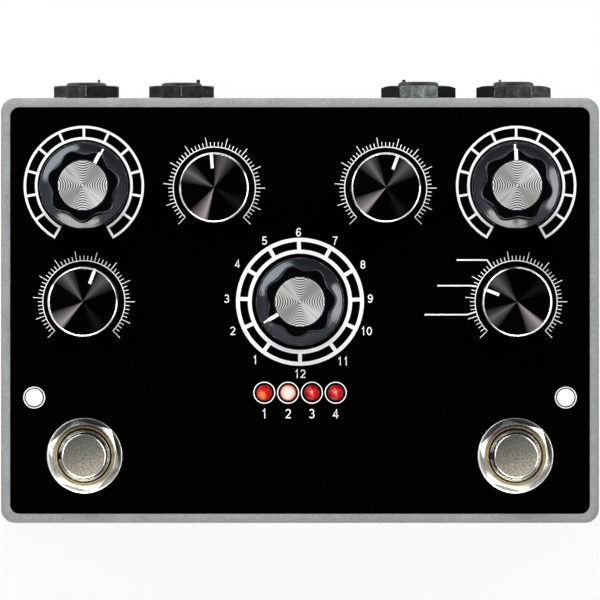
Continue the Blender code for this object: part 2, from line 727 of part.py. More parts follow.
def make_large_knob(name, axis):
    """A moulded knob: a loft from a round skirt to a lobed grip, hollow below and capped with metal."""
    grip_top = LARGE_KNOB_TOP - GRIP_EDGE
    recess = CAP_RADIUS + SEAT_GAP
    recess_floor = LARGE_KNOB_TOP - CAP_THICKNESS - SEAT_GAP
    stations = (
        (SKIRT_RADIUS, 0.0, KNOB_LIFT),
        (SKIRT_RADIUS, 0.0, KNOB_LIFT + SKIRT_RIM),
        (SKIRT_TOP_RADIUS, 0.0, KNOB_LIFT + SKIRT_TOP),
        (GRIP_RADIUS, LOBE_DEPTH, KNOB_LIFT + GRIP_FOOT),
        (GRIP_TOP_RADIUS, LOBE_DEPTH, grip_top),
        (GRIP_TOP_RADIUS - GRIP_EDGE, LOBE_DEPTH, LARGE_KNOB_TOP),
        (recess, 0.0, LARGE_KNOB_TOP),
        (recess, 0.0, recess_floor),
    )
    steps = LOBES * LOBE_STEPS
    shape = bmesh.new()
    first_radius = stations[0][0]
    first = bmesh.ops.create_circle(shape, cap_ends=True, segments=steps, radius=first_radius)
    ring = first["verts"]
    edges = list(shape.edges)
    for radius, lobe, height in stations:
        if height > KNOB_LIFT:
            grown = bmesh.ops.extrude_edge_only(shape, edges=edges)["geom"]
            ring = [part for part in grown if isinstance(part, bmesh.types.BMVert)]
            edges = [part for part in grown if isinstance(part, bmesh.types.BMEdge)]
        for point in ring:
            around = math.atan2(point.co.y, point.co.x)
            reach = radius + lobe * math.cos(LOBES * around)
            point.co = Vector((reach * math.cos(around), reach * math.sin(around), height))
    bmesh.ops.edgeloop_fill(shape, edges=edges)
    bmesh.ops.recalc_face_normals(shape, faces=shape.faces)
    knob = piece(mesh_object(f"{name}_knob", shape), BLACK_PLASTIC, axis)
    hollow_profile = (
        (0.0, BORE_TOP),
        (SHAFT_RADIUS + SEAT_GAP, BORE_TOP),
        (SHAFT_RADIUS + SEAT_GAP, HUB_LIFT),
        (LARGE_CAVITY_RADIUS, HUB_LIFT),
        (LARGE_CAVITY_RADIUS, -OVERRUN),
        (0.0, -OVERRUN),
    )
    combine(knob, "DIFFERENCE", tool(turned(f"{name}_hollow", hollow_profile, SMALL_STEPS), TRIMS, axis))
    combine(knob, "DIFFERENCE", set_screw_hole(name, SKIRT_RADIUS, axis))
    end = GRIP_TOP_RADIUS + LOBE_DEPTH + OVERRUN
    pointer = block(
        f"{name}_pointer",
        end - recess + OVERLAP,
        POINTER_WIDTH,
        LARGE_KNOB_TOP - POINTER_DEPTH,
        LARGE_KNOB_TOP + OVERRUN,
        (end + recess - OVERLAP) / 2,
    )
    combine(knob, "DIFFERENCE", tool(pointer, TRIMS, axis))
    cap_profile = (
        (0.0, LARGE_KNOB_TOP),
        (CAP_RADIUS, LARGE_KNOB_TOP),
        (CAP_RADIUS, LARGE_KNOB_TOP - CAP_THICKNESS),
        (0.0, LARGE_KNOB_TOP - CAP_THICKNESS),
    )
    piece(turned(f"{name}_cap", cap_profile, KNOB_STEPS), SPUN_ALUMINIUM, axis)


def make_small_knob(name, axis):
    """A turned metal knob with a bright cut rim, a sunk top and a pointer groove."""
    rim = SMALL_KNOB_RADIUS - SMALL_KNOB_TAPER
    dish = rim - RIM_WIDTH
    floor = SMALL_KNOB_TOP - DISH_DEPTH
    bore = SHAFT_RADIUS + SEAT_GAP
    profile = (
        (0.0, floor),
        (dish, floor),
        (dish, SMALL_KNOB_TOP),
        (rim, SMALL_KNOB_TOP - RIM_DROP),
        (SMALL_KNOB_RADIUS, KNOB_LIFT),
        (SMALL_CAVITY_RADIUS, KNOB_LIFT),
        (SMALL_CAVITY_RADIUS, HUB_LIFT),
        (bore, HUB_LIFT),
        (bore, BORE_TOP),
        (0.0, BORE_TOP),
    )
    knob = piece(turned(f"{name}_knob", profile, KNOB_STEPS), BLACK_ANODISED, axis)
    combine(knob, "DIFFERENCE", set_screw_hole(name, SMALL_KNOB_RADIUS, axis))
    end = SMALL_KNOB_RADIUS + OVERRUN
    pointer = block(
        f"{name}_pointer",
        end - SMALL_POINTER_START,
        POINTER_WIDTH,
        floor - POINTER_DEPTH,
        SMALL_KNOB_TOP + OVERRUN,
        (end + SMALL_POINTER_START) / 2,
    )
    combine(knob, "DIFFERENCE", tool(pointer, TRIMS, axis))


def make_footswitch(side, x):
    """A foot switch: its body and threaded bushing, the nut and washer on the face, and the button."""
    place = empty(f"{side}_footswitch_place", (x, ROWS["footswitch"], FACE), CASE)
    bore_floor = -BUTTON_ROOT_DEPTH - BUTTON_TRAVEL - BUTTON_BOTTOM_ROOM
    housing_top = -MOUNT_DEPTH - SWITCH_LOCK_NUT_THICKNESS - SWITCH_NECK
    housing_bottom = housing_top - SWITCH_HOUSING_HEIGHT
    profile = (
        (0.0, bore_floor),
        (SWITCH_BORE_RADIUS, bore_floor),
        (SWITCH_BORE_RADIUS, SWITCH_BUSHING_RISE),
        (SWITCH_BUSHING_RADIUS, SWITCH_BUSHING_RISE),
        (SWITCH_BUSHING_RADIUS, housing_top - OVERLAP),
        (0.0, housing_top - OVERLAP),
    )
    body = piece(turned(f"{side}_footswitch_body", profile, SMALL_STEPS), NICKEL, place)
    extras = group(f"{side}_footswitch_extras")
    lock_nut = cylinder(
        f"{side}_lock_nut",
        corner_radius(SWITCH_NUT_FLATS),
        -MOUNT_DEPTH - SWITCH_LOCK_NUT_THICKNESS,
        -MOUNT_DEPTH,
        HEXAGON,
    )
    nut_middle = cylinder(
        f"{side}_lock_nut_bore",
        (SWITCH_BUSHING_RADIUS + SWITCH_BORE_RADIUS) / 2,
        -MOUNT_DEPTH - SWITCH_LOCK_NUT_THICKNESS - OVERRUN,
        OVERRUN,
        SMALL_STEPS,
    )
    combine(tool(lock_nut, extras, place), "DIFFERENCE", tool(nut_middle, TRIMS, place))
    housing = block(
        f"{side}_housing", SWITCH_HOUSING_LENGTH, SWITCH_HOUSING_WIDTH, housing_bottom, housing_top
    )
    tool(housing, extras, place)
    for column in range(3):
        for row in range(3):
            lug = block(
                f"{side}_lug_{column}_{row}",
                SWITCH_LUG_WIDTH,
                SWITCH_LUG_THICKNESS,
                housing_bottom - SWITCH_LUG_LENGTH,
                housing_bottom + OVERLAP,
                (column - 1) * SWITCH_LUG_PITCH,
                (row - 1) * SWITCH_LUG_PITCH,
            )
            tool(lug, extras, place)
    combine(body, "UNION", extras)
    key = block(
        f"{side}_key",
        SWITCH_BUSHING_RADIUS,
        SWITCH_KEY_WIDTH,
        SEAT_GAP,
        SWITCH_BUSHING_RISE + OVERRUN,
        -SWITCH_BUSHING_RADIUS,
    )
    combine(body, "DIFFERENCE", tool(key, TRIMS, place))
    hole = SWITCH_BUSHING_RADIUS + SEAT_GAP
    washer_top = SEAT_GAP + SWITCH_WASHER_THICKNESS
    washer_profile = (
        (SWITCH_WASHER_RADIUS, washer_top),
        (SWITCH_WASHER_RADIUS, SEAT_GAP),
        (hole, SEAT_GAP),
        (hole, washer_top),
    )
    washer = turned(f"{side}_footswitch_washer", washer_profile, KNOB_STEPS, closed=True)
    piece(washer, NICKEL, place)
    nut_seat = empty(f"{side}_footswitch_nut_seat", (0.0, 0.0, washer_top + SEAT_GAP), place)
    nut = hex_nut(
        f"{side}_footswitch_nut",
        SWITCH_NUT_FLATS,
        SWITCH_NUT_THICKNESS,
        hole,
        SWITCH_NUT_FACE_RADIUS,
        TRIMS,
        nut_seat,
        SWITCH_NUT_TURN,
    )
    piece(nut, NICKEL, nut_seat)
    button_profile = (
        (0.0, BUTTON_RISE),
        (BUTTON_RADIUS - BUTTON_EDGE, BUTTON_RISE),
        (BUTTON_RADIUS - ROUND_SHARE * BUTTON_EDGE, BUTTON_RISE - ROUND_SHARE * BUTTON_EDGE),
        (BUTTON_RADIUS, BUTTON_RISE - BUTTON_EDGE),
        (BUTTON_RADIUS, -BUTTON_ROOT_DEPTH),
        (0.0, -BUTTON_ROOT_DEPTH),
    )
    piece(turned(f"{side}_footswitch_button", button_profile, KNOB_STEPS), NICKEL, place)


def make_lamps():
    """Domed lamps through the face, their flanges under the roof and their legs down to the board."""
    for name, x, y, radius in lamp_places():
        place = empty(f"{name}_place", (x, y, FACE), CASE)
        flange_low = -MOUNT_DEPTH - LAMP_FLANGE_THICKNESS
        dome_side = (ROUND_SHARE * radius, ROUND_SHARE * LAMP_RISE)
        profile = [
            (0.0, LAMP_RISE),
            (radius - dome_side[0], LAMP_RISE - dome_side[1]),
            (radius, 0.0),
            (radius, -MOUNT_DEPTH),
            (radius + LAMP_FLANGE, -MOUNT_DEPTH),
            (radius + LAMP_FLANGE, flange_low),
            (0.0, flange_low),
        ]
        finish = WHITE_LENS if radius == STATUS_LAMP_RADIUS else RED_LENS
        lamp = piece(turned(name, profile, TINY_STEPS), finish, place)
        legs = group(f"{name}_legs")
        for side in (-1, 1):
            leg = block(
                f"{name}_leg_{side}",
                LAMP_LEG_THICKNESS,
                LAMP_LEG_THICKNESS,
                SEAT_GAP - BOARD_DEPTH,
                flange_low + OVERLAP,
                side * LAMP_LEG_PITCH / 2,
            )
            tool(leg, legs, place)
        combine(lamp, "UNION", legs)


def make_board():
    """The circuit board with the parts that hang under it."""
    top = FACE - BOARD_DEPTH
    low = top - BOARD_THICKNESS
    middle = BOARD_FRONT + BOARD_WIDTH / 2
    board = piece(block("main_board", BOARD_LENGTH, BOARD_WIDTH, low, top, 0.0, middle), BOARD_GREEN, CASE)
    parts = group("board_parts")
    high = low + OVERLAP

    def places(shares):
        """Places on the board, as shares of its size, on its left half and its right half alike."""
        return [(side * x * BOARD_LENGTH, middle + y * BOARD_WIDTH) for x, y in shares for side in (-1, 1)]

    for x, y in places(CHIP_SHARES):
        tool(block("chip", CHIP_LENGTH, CHIP_WIDTH, low - CHIP_HEIGHT, high, x, y), parts, CASE)
    processor_y = middle + PROCESSOR_SHARE * BOARD_WIDTH
    processor = block(
        "processor", PROCESSOR_SIDE, PROCESSOR_SIDE, low - CHIP_HEIGHT, high, 0.0, processor_y
    )
    tool(processor, parts, CASE)
    for x, y in places(CAPACITOR_SHARES):
        can = cylinder("capacitor", CAPACITOR_RADIUS, low - CAPACITOR_HEIGHT, high, TINY_STEPS, x, y)
        tool(can, parts, CASE)
    for x, y in places(HEADER_SHARES):
        tool(block("header", HEADER_LENGTH, HEADER_WIDTH, low - HEADER_HEIGHT, high, x, y), parts, CASE)
    combine(board, "UNION", parts)


def jack_places():
    """Every jack's name, column and how far its nut is turned from a corner up."""
    return (
        ("output_jack_outer", -COLUMNS["outer_jack"], 0.0),
        ("output_jack_inner", -COLUMNS["inner_jack"], 0.0),
        ("input_jack_inner", COLUMNS["inner_jack"], math.radians(30)),
        ("input_jack_outer", COLUMNS["outer_jack"], math.radians(28)),
    )


def jack_seat(name, x):
    """A place on the rear wall, its own Z pointing backwards out of the case and its own -Y up."""
    found = bpy.data.objects.get(f"{name}_seat")
    return found or empty(f"{name}_seat", (x, JACK_SEAT, JACK_AXIS), CASE, (math.radians(-90), 0.0, 0.0))


def make_jacks():
    """Each jack: a body under the board, its nose through the rear wall, and the nut that holds it."""
    front = JACK_INNER_SEAT - JACK_SEAT
    mouth = JACK_NUT_THICKNESS + JACK_NOSE_PROUD
    bore_floor = front - JACK_BODY_LENGTH + JACK_BACK_WALL
    for name, x, turn in jack_places():
        seat = jack_seat(name, x)
        profile = (
            (0.0, bore_floor),
            (JACK_BORE_RADIUS, bore_floor),
            (JACK_BORE_RADIUS, mouth),
            (JACK_NOSE_RADIUS - JACK_NOSE_EDGE, mouth),
            (JACK_NOSE_RADIUS, mouth - JACK_NOSE_EDGE),
            (JACK_NOSE_RADIUS, front - JACK_BODY_LENGTH + OVERLAP),
            (0.0, front - JACK_BODY_LENGTH + OVERLAP),
        )
        jack = piece(turned(name, profile, SMALL_STEPS), BLACK_PLASTIC, seat)
        extras = group(f"{name}_extras")
        height = JACK_BODY_RISE + JACK_BODY_DROP
        middle = (JACK_BODY_DROP - JACK_BODY_RISE) / 2
        box = block(f"{name}_box", JACK_BODY_WIDTH, height, front - JACK_BODY_LENGTH, front, 0.0, middle)
        bore = cylinder(
            f"{name}_bore",
            (JACK_BORE_RADIUS + JACK_NOSE_RADIUS) / 2,
            bore_floor - OVERLAP,
            mouth + OVERRUN,
            SMALL_STEPS,
        )
        combine(tool(box, extras, seat), "DIFFERENCE", tool(bore, TRIMS, seat))
        inward = -math.copysign(JACK_KEY_OFFSET, x)
        key = block(
            f"{name}_key",
            JACK_KEY_SIDE,
            JACK_KEY_SIDE,
            mouth - JACK_NOSE_EDGE - OVERLAP,
            mouth + JACK_KEY_PROUD,
            inward,
            -JACK_KEY_SIDE,
        )
        tool(key, extras, seat)
        combine(jack, "UNION", extras)
        nut_bore = JACK_NOSE_RADIUS + SEAT_GAP
        nut = hex_nut(
            f"{name}_nut",
            JACK_NUT_FLATS,
            JACK_NUT_THICKNESS,
            nut_bore,
            JACK_NUT_FACE_RADIUS,
            TRIMS,
            seat,
            turn,
        )
        piece(nut, NUT_PLASTIC, seat)


def make_inlet():
    """The power inlet: a block under the board, its collar in the rear wall and a pin in its middle."""
    seat = jack_seat("inlet", 0.0)
    front = JACK_INNER_SEAT - JACK_SEAT
    mouth = front + INLET_COLLAR_LENGTH
    profile = (
        (0.0, mouth - INLET_PIN_SHORT),
        (INLET_PIN_RADIUS, mouth - INLET_PIN_SHORT),
        (INLET_PIN_RADIUS, mouth - INLET_BORE_DEPTH),
        (INLET_BORE_RADIUS, mouth - INLET_BORE_DEPTH),
        (INLET_BORE_RADIUS, mouth),
        (INLET_COLLAR_RADIUS, mouth),
        (INLET_COLLAR_RADIUS, front - INLET_LENGTH + OVERLAP),
        (0.0, front - INLET_LENGTH + OVERLAP),
    )
    inlet = piece(turned("power_inlet", profile, SMALL_STEPS), BLACK_PLASTIC, seat)
    height = JACK_BODY_RISE + INLET_DROP
    middle = (INLET_DROP - JACK_BODY_RISE) / 2
    box = block("inlet_box", INLET_WIDTH, height, front - INLET_LENGTH, front, 0.0, middle)
    bore = cylinder(
        "inlet_bore",
        (INLET_BORE_RADIUS + INLET_COLLAR_RADIUS) / 2,
        mouth - INLET_BORE_DEPTH - OVERLAP,
        mouth + OVERRUN,
        SMALL_STEPS,
    )
    combine(tool(box, TRIMS, seat), "DIFFERENCE", tool(bore, TRIMS, seat))
    combine(inlet, "UNION", box)


def apply_and_shade():
    """Turns each piece into its finished mesh, smooth where it is round."""
    bpy.context.view_layer.update()
    graph = bpy.context.evaluated_depsgraph_get()
    pieces = [made for made in PEDAL.objects if made.type == "MESH"]
    finished = [bpy.data.meshes.new_from_object(made.evaluated_get(graph)) for made in pieces]
    for made, mesh in zip(pieces, finished):
        made.modifiers.clear()
        made.data = mesh
        mesh.shade_smooth()
        mesh.set_sharp_from_angle(angle=SMOOTH_ANGLE)


FACE_HOLES = make_enclosure()
make_face_plate(FACE_HOLES)
make_base_plate()
make_feet()
make_board()
make_controls()
for switch_side, switch_x in footswitch_places():
    make_footswitch(switch_side, switch_x)
make_lamps()
make_jacks()
make_inlet()
apply_and_shade()
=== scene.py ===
"""The looks of a delay pedal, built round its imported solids. Metres, in the solids' own frame."""

import json
import math

import bmesh
import bpy
from mathutils import Matrix, Vector, noise

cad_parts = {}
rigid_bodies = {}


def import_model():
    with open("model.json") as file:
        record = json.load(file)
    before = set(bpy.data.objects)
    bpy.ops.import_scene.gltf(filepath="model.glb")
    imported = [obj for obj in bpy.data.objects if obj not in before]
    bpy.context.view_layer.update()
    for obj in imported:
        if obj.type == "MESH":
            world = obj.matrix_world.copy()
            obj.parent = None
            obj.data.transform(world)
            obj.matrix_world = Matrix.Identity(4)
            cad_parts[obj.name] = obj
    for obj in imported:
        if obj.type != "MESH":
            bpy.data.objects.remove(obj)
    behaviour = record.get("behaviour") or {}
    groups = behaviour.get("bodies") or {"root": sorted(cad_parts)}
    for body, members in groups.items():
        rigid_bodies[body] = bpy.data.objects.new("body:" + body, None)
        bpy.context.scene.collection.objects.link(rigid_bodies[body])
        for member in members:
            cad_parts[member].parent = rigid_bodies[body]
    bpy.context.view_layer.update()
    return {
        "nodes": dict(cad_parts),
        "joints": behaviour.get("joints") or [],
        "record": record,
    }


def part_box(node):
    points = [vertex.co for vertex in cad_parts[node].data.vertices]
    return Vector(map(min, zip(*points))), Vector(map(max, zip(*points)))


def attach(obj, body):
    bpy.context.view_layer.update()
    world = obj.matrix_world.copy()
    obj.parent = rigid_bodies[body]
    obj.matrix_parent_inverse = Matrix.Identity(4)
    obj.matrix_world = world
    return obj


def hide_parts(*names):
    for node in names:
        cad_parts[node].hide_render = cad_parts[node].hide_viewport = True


for leftover in list(bpy.data.objects):
    bpy.data.objects.remove(leftover, do_unlink=True)
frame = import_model()

# Facets, and how far a cutter reaches past what it cuts
ROUND_STEPS = 96
SMALL_STEPS = 48
CORNER_STEPS = 10
EDGE_STEPS = 6
BAND_STEP_DEGREES = 3
SMOOTH_ANGLE = math.radians(34)
OVERRUN = 0.001

# The case, as the solids have it
CASE_LOW, CASE_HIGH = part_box("enclosure")
PLATE_LOW, PLATE_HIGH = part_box("face_plate")
MIDDLE = (CASE_LOW + CASE_HIGH) / 2
FACE = CASE_HIGH.z
CASE_CORNER = 0.004
CASE_EDGE = 0.0017
CASE_WALL = 0.0025
CASE_ROOF = 0.003
CASE_LEAN = math.tan(math.radians(1.1))
CASE_RIM_EDGE = 0.0003
SEAT_GAP = 0.0003
FINE_GAP = SEAT_GAP / 3
PANEL_PLAY = 0.00006
FACE_CORNER = 0.0026
FACE_EDGE = 0.00006

# Holes of the face and of the rear wall
POT_HOLE = 0.0043
SWITCH_HOLE = 0.0051
FOOTSWITCH_HOLE = 0.0076
HEAD_LAMP_HOLE = 0.00265
STATUS_LAMP_HOLE = 0.0028
JACK_HOLE = 0.0061
INLET_HOLE = 0.0048

# Print on the face. A leader is its angle, its kink and the end of its level run
PRINT_SUNK = 0.00002
PRINT_PROUD = 0.00004
PRINT_TOP = FACE + PRINT_PROUD
CROSSING_STEP = 0.000003
DIAL_SIZES = {
    "tone": (0.01327, 0.01401, 0.01651, 0.01722),
    "volume": (0.01327, 0.01401, 0.01651, 0.01722),
    "selector": (0.01379, 0.01492, 0.01718, 0.01830),
}
DIAL_DEGREES = range(-60, 241, 25)
SELECTOR_DEGREES = (233.7, 205.0, 177.2, 148.5, 120.0, 91.0, 60.2, 30.9, 2.2, -25.8, -54.0, -90.0)
SELECTOR_NUMBER_PLACES = (
    (-0.01284, -0.01660), (-0.01923, -0.00832), (-0.02093, 0.00088), (-0.01787, 0.01089),
    (-0.01015, 0.01749), (-0.00040, 0.01990), (0.01000, 0.01749), (0.01799, 0.01066),
    (0.02009, 0.00090), (0.01895, -0.00838), (0.01225, -0.01700), (-0.00003, -0.02060),
)
SELECTOR_NUMBER_HEIGHT = 0.0024
SCALE_RADIUS = 0.01174
SCALE_LINE = 0.00029
SCALE_TICK = 0.00022
SCALE_SHORT = 0.0132
SCALE_LONG = 0.0146
SCALE_DEGREES = range(-45, 226, 5)
SCALE_LONG_DEGREES = (-45, *range(-25, 225, 25), 225)
LEADER_WIDTH = 0.00042
LEADERS = (
    (125.0, (-0.00835, 0.01194), -0.01705),
    (158.5, (-0.01300, 0.00459), -0.02250),
    (194.0, (-0.01404, -0.00370), -0.02620),
)
LAMP_RING = (0.00284, 0.00315)
STATUS_RING = (0.00265, 0.00312)
LAMP_NUMBER_HEIGHT = 0.0027
LAMP_NUMBER_DROP = 0.0060
NUMBER_STROKE = 0.00031
NUMBER_WIDTH_SHARE = 0.60
NUMBER_SPACE_SHARE = 0.20
MITRE_LIMIT = 0.5

# Knobs
LARGE_KNOBS = ("tone", "volume", "selector")
SMALL_KNOBS = ("wear", "speed", "swell", "mode")
POINTER_DEGREES = {
    "tone": 62.0,
    "volume": 92.0,
    "wear": 94.6,
    "speed": 69.5,
    "swell": 69.5,
    "mode": 159.0,
    "selector": 210.0,
}
# How far each cap is turned, which sets where its painted highlights lie
CAP_HIGHLIGHT_DEGREES = {"tone": 0.0, "volume": 90.0, "selector": 0.0}
LOBES = 7
LOBE_DEPTH = 0.0007
LOBE_STEPS = 24
KNOB_LIFT = 0.001
LARGE_KNOB_TOP = 0.0160
SKIRT_RADIUS = 0.0126
SKIRT_RIM = 0.0011
SKIRT_BEVEL = 0.0007
SKIRT_BEVEL_RISE = 0.0008
SKIRT_BEVEL_SHARE = 0.57
SKIRT_SLOPE_START = 36.5
SKIRT_SLOPE_END = 44.5
SKIRT_RIM_POINTS = 5
GRIP_RADIUS = 0.0097
GRIP_TOP_RADIUS = 0.0096
GRIP_FILLET = 0.0002
GRIP_EDGE = 0.0003
CAP_RADIUS = 0.00698
CAP_THICKNESS = 0.0008
CAP_GROOVES = 11
CAP_GROOVE_DEPTH = 0.00001
# The pitch and bend of the painted highlight lines on a cap
CAP_GLINT_PITCH = 0.00072
CAP_GLINT_BEND = 1.7
LARGE_POINTER_WIDTH = 0.00098
POINTER_END_SHARE = 0.55
POINTER_NARROWING_START = 0.4
SMALL_KNOB_TOP = 0.0150
SMALL_KNOB_RADIUS = 0.01004
SMALL_KNOB_TAPER = 0.00002
RIM_WIDTH = 0.00056
RIM_DROP = 0.0006
DISH_DEPTH = 0.0003
SPUN_PITCH = 0.00040
STREAKS_PER_METRE = 9000.0
KNURL_TEETH = 72
KNURL_DEPTH = 0.00009
SMALL_POINTER_WIDTH = 0.00086
SMALL_POINTER_START = 0.0055
POINTER_PROUD = 0.00003
POINTER_THICKNESS = 0.00025
CAVITY_RADIUS = 0.0078
SHAFT_RADIUS = 0.003
HUB_LIFT = 0.0052
BORE_TOP = 0.0122
KNOB_BORE = SHAFT_RADIUS + SEAT_GAP
KNOB_HOLLOW = [
    (KNOB_BORE, BORE_TOP),
    (KNOB_BORE, HUB_LIFT),
    (CAVITY_RADIUS, HUB_LIFT),
    (CAVITY_RADIUS, KNOB_LIFT),
]
SET_SCREW_RADIUS = 0.0015
SET_SCREW_HEIGHT = 0.0082
SET_SCREW_DEPTH = 0.0014

# Foot switches. Heights of the bushing and the housing are from the face
BUSHING_RADIUS = 0.0073
BUSHING_BORE = 0.00665
BUSHING_RISE = 0.0045
BUSHING_FLOOR = -0.0068
BUSHING_PLAIN = -0.0005
THREAD_PITCH = 0.0007
THREAD_DEPTH = 0.00028
THREAD_CREST_SHARE = 0.15
KEY_WIDTH = 0.0021
KEY_DEPTH = 0.0052
HOUSING_TOP = -0.0083
HOUSING_LIFT = 0.004
HOUSING_PLAY = 0.0004
TERMINAL_SIZE = (0.0011, 0.0004, 0.0038)
TERMINAL_PITCH = 0.005
WASHER_RADIUS = 0.0111
WASHER_EDGE = 0.00015
WASHER_ROUND = 0.0009
WASHER_DOME_SHARE = 0.5
WASHER_RIM = (0.0006, 0.0003)
SWITCH_NUT_FLATS = 0.0185
SWITCH_NUT_FACE_RADIUS = 0.0089
SWITCH_NUT_TURN = math.radians(14)
NUT_CROWN = 0.00028
NUT_CROWN_POWER = 2.4
NUT_SHADE_SHARES = (-0.3, 0.9)
BUTTON_RADIUS = 0.0063
BUTTON_EDGE = 0.0005
BUTTON_DOME = 0.0002
PEBBLE_STEP = 0.00022
PEBBLE_SCALE = 2300.0
PEBBLE_HEIGHT = 0.00003
PEBBLE_SUNK_SHARE = 0.3
PEBBLE_FADE = 6

# Lamps
LAMPS = {f"head_lamp_{index}": HEAD_LAMP_HOLE for index in (1, 2, 3, 4)}
LAMPS.update({"status_lamp_left": STATUS_LAMP_HOLE, "status_lamp_right": STATUS_LAMP_HOLE})
LENS_LOOKS = {"head_lamp_1": "warm_lens", "head_lamp_2": "lit_lens"}
LENS_GAP = 0.0003
LENS_FLANGE = 0.0004
LENS_FLANGE_HEIGHT = 0.001
# Where the painted shade at a lens's edge starts and ends
LENS_SHADE_START = 0.00210
LENS_SHADE_END = 0.00232
LIT_REACH = 0.0025
SLEEVE_PLAY = 0.00002
SLEEVE_DROP = 0.00005
LEG_OFFSET = 0.00125
LEG_HALF = 0.00025

# Jacks and the power inlet
JACK_NUT_FLATS = 0.0186
JACK_NUT_FACE_RADIUS = 0.0098
JACK_NUT_FLUSH = 0.00006
JACK_NOSE_RADIUS = 0.0058
JACK_NOSE_EDGE = 0.0004
JACK_NOSE_ROUND = (0.0014, 0.0007)
JACK_BORE_RADIUS = 0.00325
JACK_BORE_DEPTH = 0.030
JACK_BODY_HALF = 0.008
JACK_BODY_SETBACK = 0.0006
LUG_DEPTHS = (-0.0012, -0.0004)
LUG_SUNK = 0.001
NUT_SHORTENED = 0.00045
# The grey of a nut's flats where no painted light is given, and the reach over which the paleness of its
# corners, wear with a painted highlight, fades out
NUT_GREY = 0.011
NUT_EDGE_START = 0.008
NUT_EDGE_END = 0.020
INLET_PIN = ((0.00075, -0.0012), (0.00105, -0.0016), (0.00105, -0.0095))
INLET_COLLAR = ((0.00315, -0.0095), (0.00315, -0.0004), (0.0036, 0.0), (0.0043, 0.0), (0.0045, -0.0002))

# Each jack: its nut's turn in degrees, its nose's rise, its lug's offset and width, and how pale
# the nut's left, top and right flats are painted, which is painted light and shade
JACKS = {
    "output_jack_outer": (0, 0.00095, 0.0036, 0.0006, (NUT_GREY, 0.036, 0.012)),
    "output_jack_inner": (0, 0.00095, 0.0048, 0.0010, (NUT_GREY, 0.022, 0.021)),
    "input_jack_inner": (30, 0.00120, -0.0042, 0.0010, (0.007, 0.150, 0.004)),
    "input_jack_outer": (28, 0.00120, -0.0039, 0.0006, (0.006, 0.042, 0.060)),
}

# Base plate, its screws and the feet
BASE_EDGE = 0.0008
SINK_DROP = 0.0004
SINK_SHANK = 0.0018
SCREW_RADIUS = 0.0015
SCREW_ROOT = 0.00125
SCREW_TIP = 0.0011
SCREW_TIP_LENGTH = 0.0012
SCREW_PITCH = 0.0006
SCREW_EDGE = 0.0001
CROSS_TURN = 0.3
CROSS_LEVELS = ((0.0018, 0.00050, -0.0005), (0.0007, 0.00028, 0.0014))
FOOT_EDGE_SHARE = 0.4
FOOT_TOP_SHARE = 0.985

# Camera, floor and surround
PHOTO_SPAN = 0.17157
PHOTO_MIDDLE_Y = 0.0030
CAMERA_DISTANCE = 3.0
SENSOR_WIDTH = 36.0
FLOOR_REACH = 3.0
FLOOR_THICKNESS = 0.01
FLOOR_GLOW = 0.91
SURROUND_STOPS = ((0.0, 0.95), (0.25, 0.78), (0.55, 0.26), (1.0, 0.03))
SURROUND_TINT = (0.86, 0.89, 1.0)
SURROUND_LEAN = (1.10, 0.40, -0.7, 0.7)

# Each light has its azimuth and elevation in degrees, its size and its power, and each strip also its
# colour and the piece that it leaves out
SOFT_DISTANCE = 0.9
SOFT_LIGHTS = {
    "back_light": (100, 42, (0.6, 0.35), 6.5),
    "front_light": (258, 40, (1.0, 0.35), 3.4),
    "left_light": (170, 45, (0.35, 0.5), 2.0),
    "right_light": (32, 43, (0.5, 0.45), 3.0),
}
STRIP_DISTANCE = 0.8
STRIPS = {
    "cool_strip": (136, 9, (1.1, 0.28), 4.2, (0.92, 0.97, 1.0), "volume_dial"),
    "warm_strip": (257, 9, (1.1, 0.28), 5.8, (1.0, 0.96, 0.82), "selector_dial"),
    "side_strip": (358, 9, (0.9, 0.28), 3.8, (1.0, 0.98, 0.92), "tone_dial"),
}

JOINTS = {joint["name"]: Vector(joint.get("pos_m", (0.0, 0.0, 0.0))) for joint in frame["joints"]}
CENTRES = {name: JOINTS[f"{name}_turn"] for name in POINTER_DEGREES}
LOOKS = {}
SPECULAR = "Specular IOR Level"
GLOW = "Emission Strength"
METAL = {"Metallic": 1.0}
STRETCHED = (1.0, 1.0, 0.2)
BLACK = (0.0, 0.0, 0.0)


def sum_of(operation, swapped=False):
    """An operator of Number, made by a Math node."""

    def method(self, other=0.0):
        return self.tree.maths(operation, *((other, self) if swapped else (self, other)))

    return method


class Number:
    """A number in a node tree, so that sums on it read as plain ones."""

    __add__ = __radd__ = sum_of("ADD")
    __sub__ = sum_of("SUBTRACT")
    __rsub__ = sum_of("SUBTRACT", swapped=True)
    __mul__ = __rmul__ = sum_of("MULTIPLY")
    __truediv__ = sum_of("DIVIDE")
    __abs__ = sum_of("ABSOLUTE")

    def __init__(self, tree, socket):
        self.tree = tree
        self.socket = socket


def rgba(colour):
    """A colour with its alpha, from three numbers, or from one for a grey."""
    return (colour, colour, colour, 1.0) if isinstance(colour, float) else (*colour, 1.0)


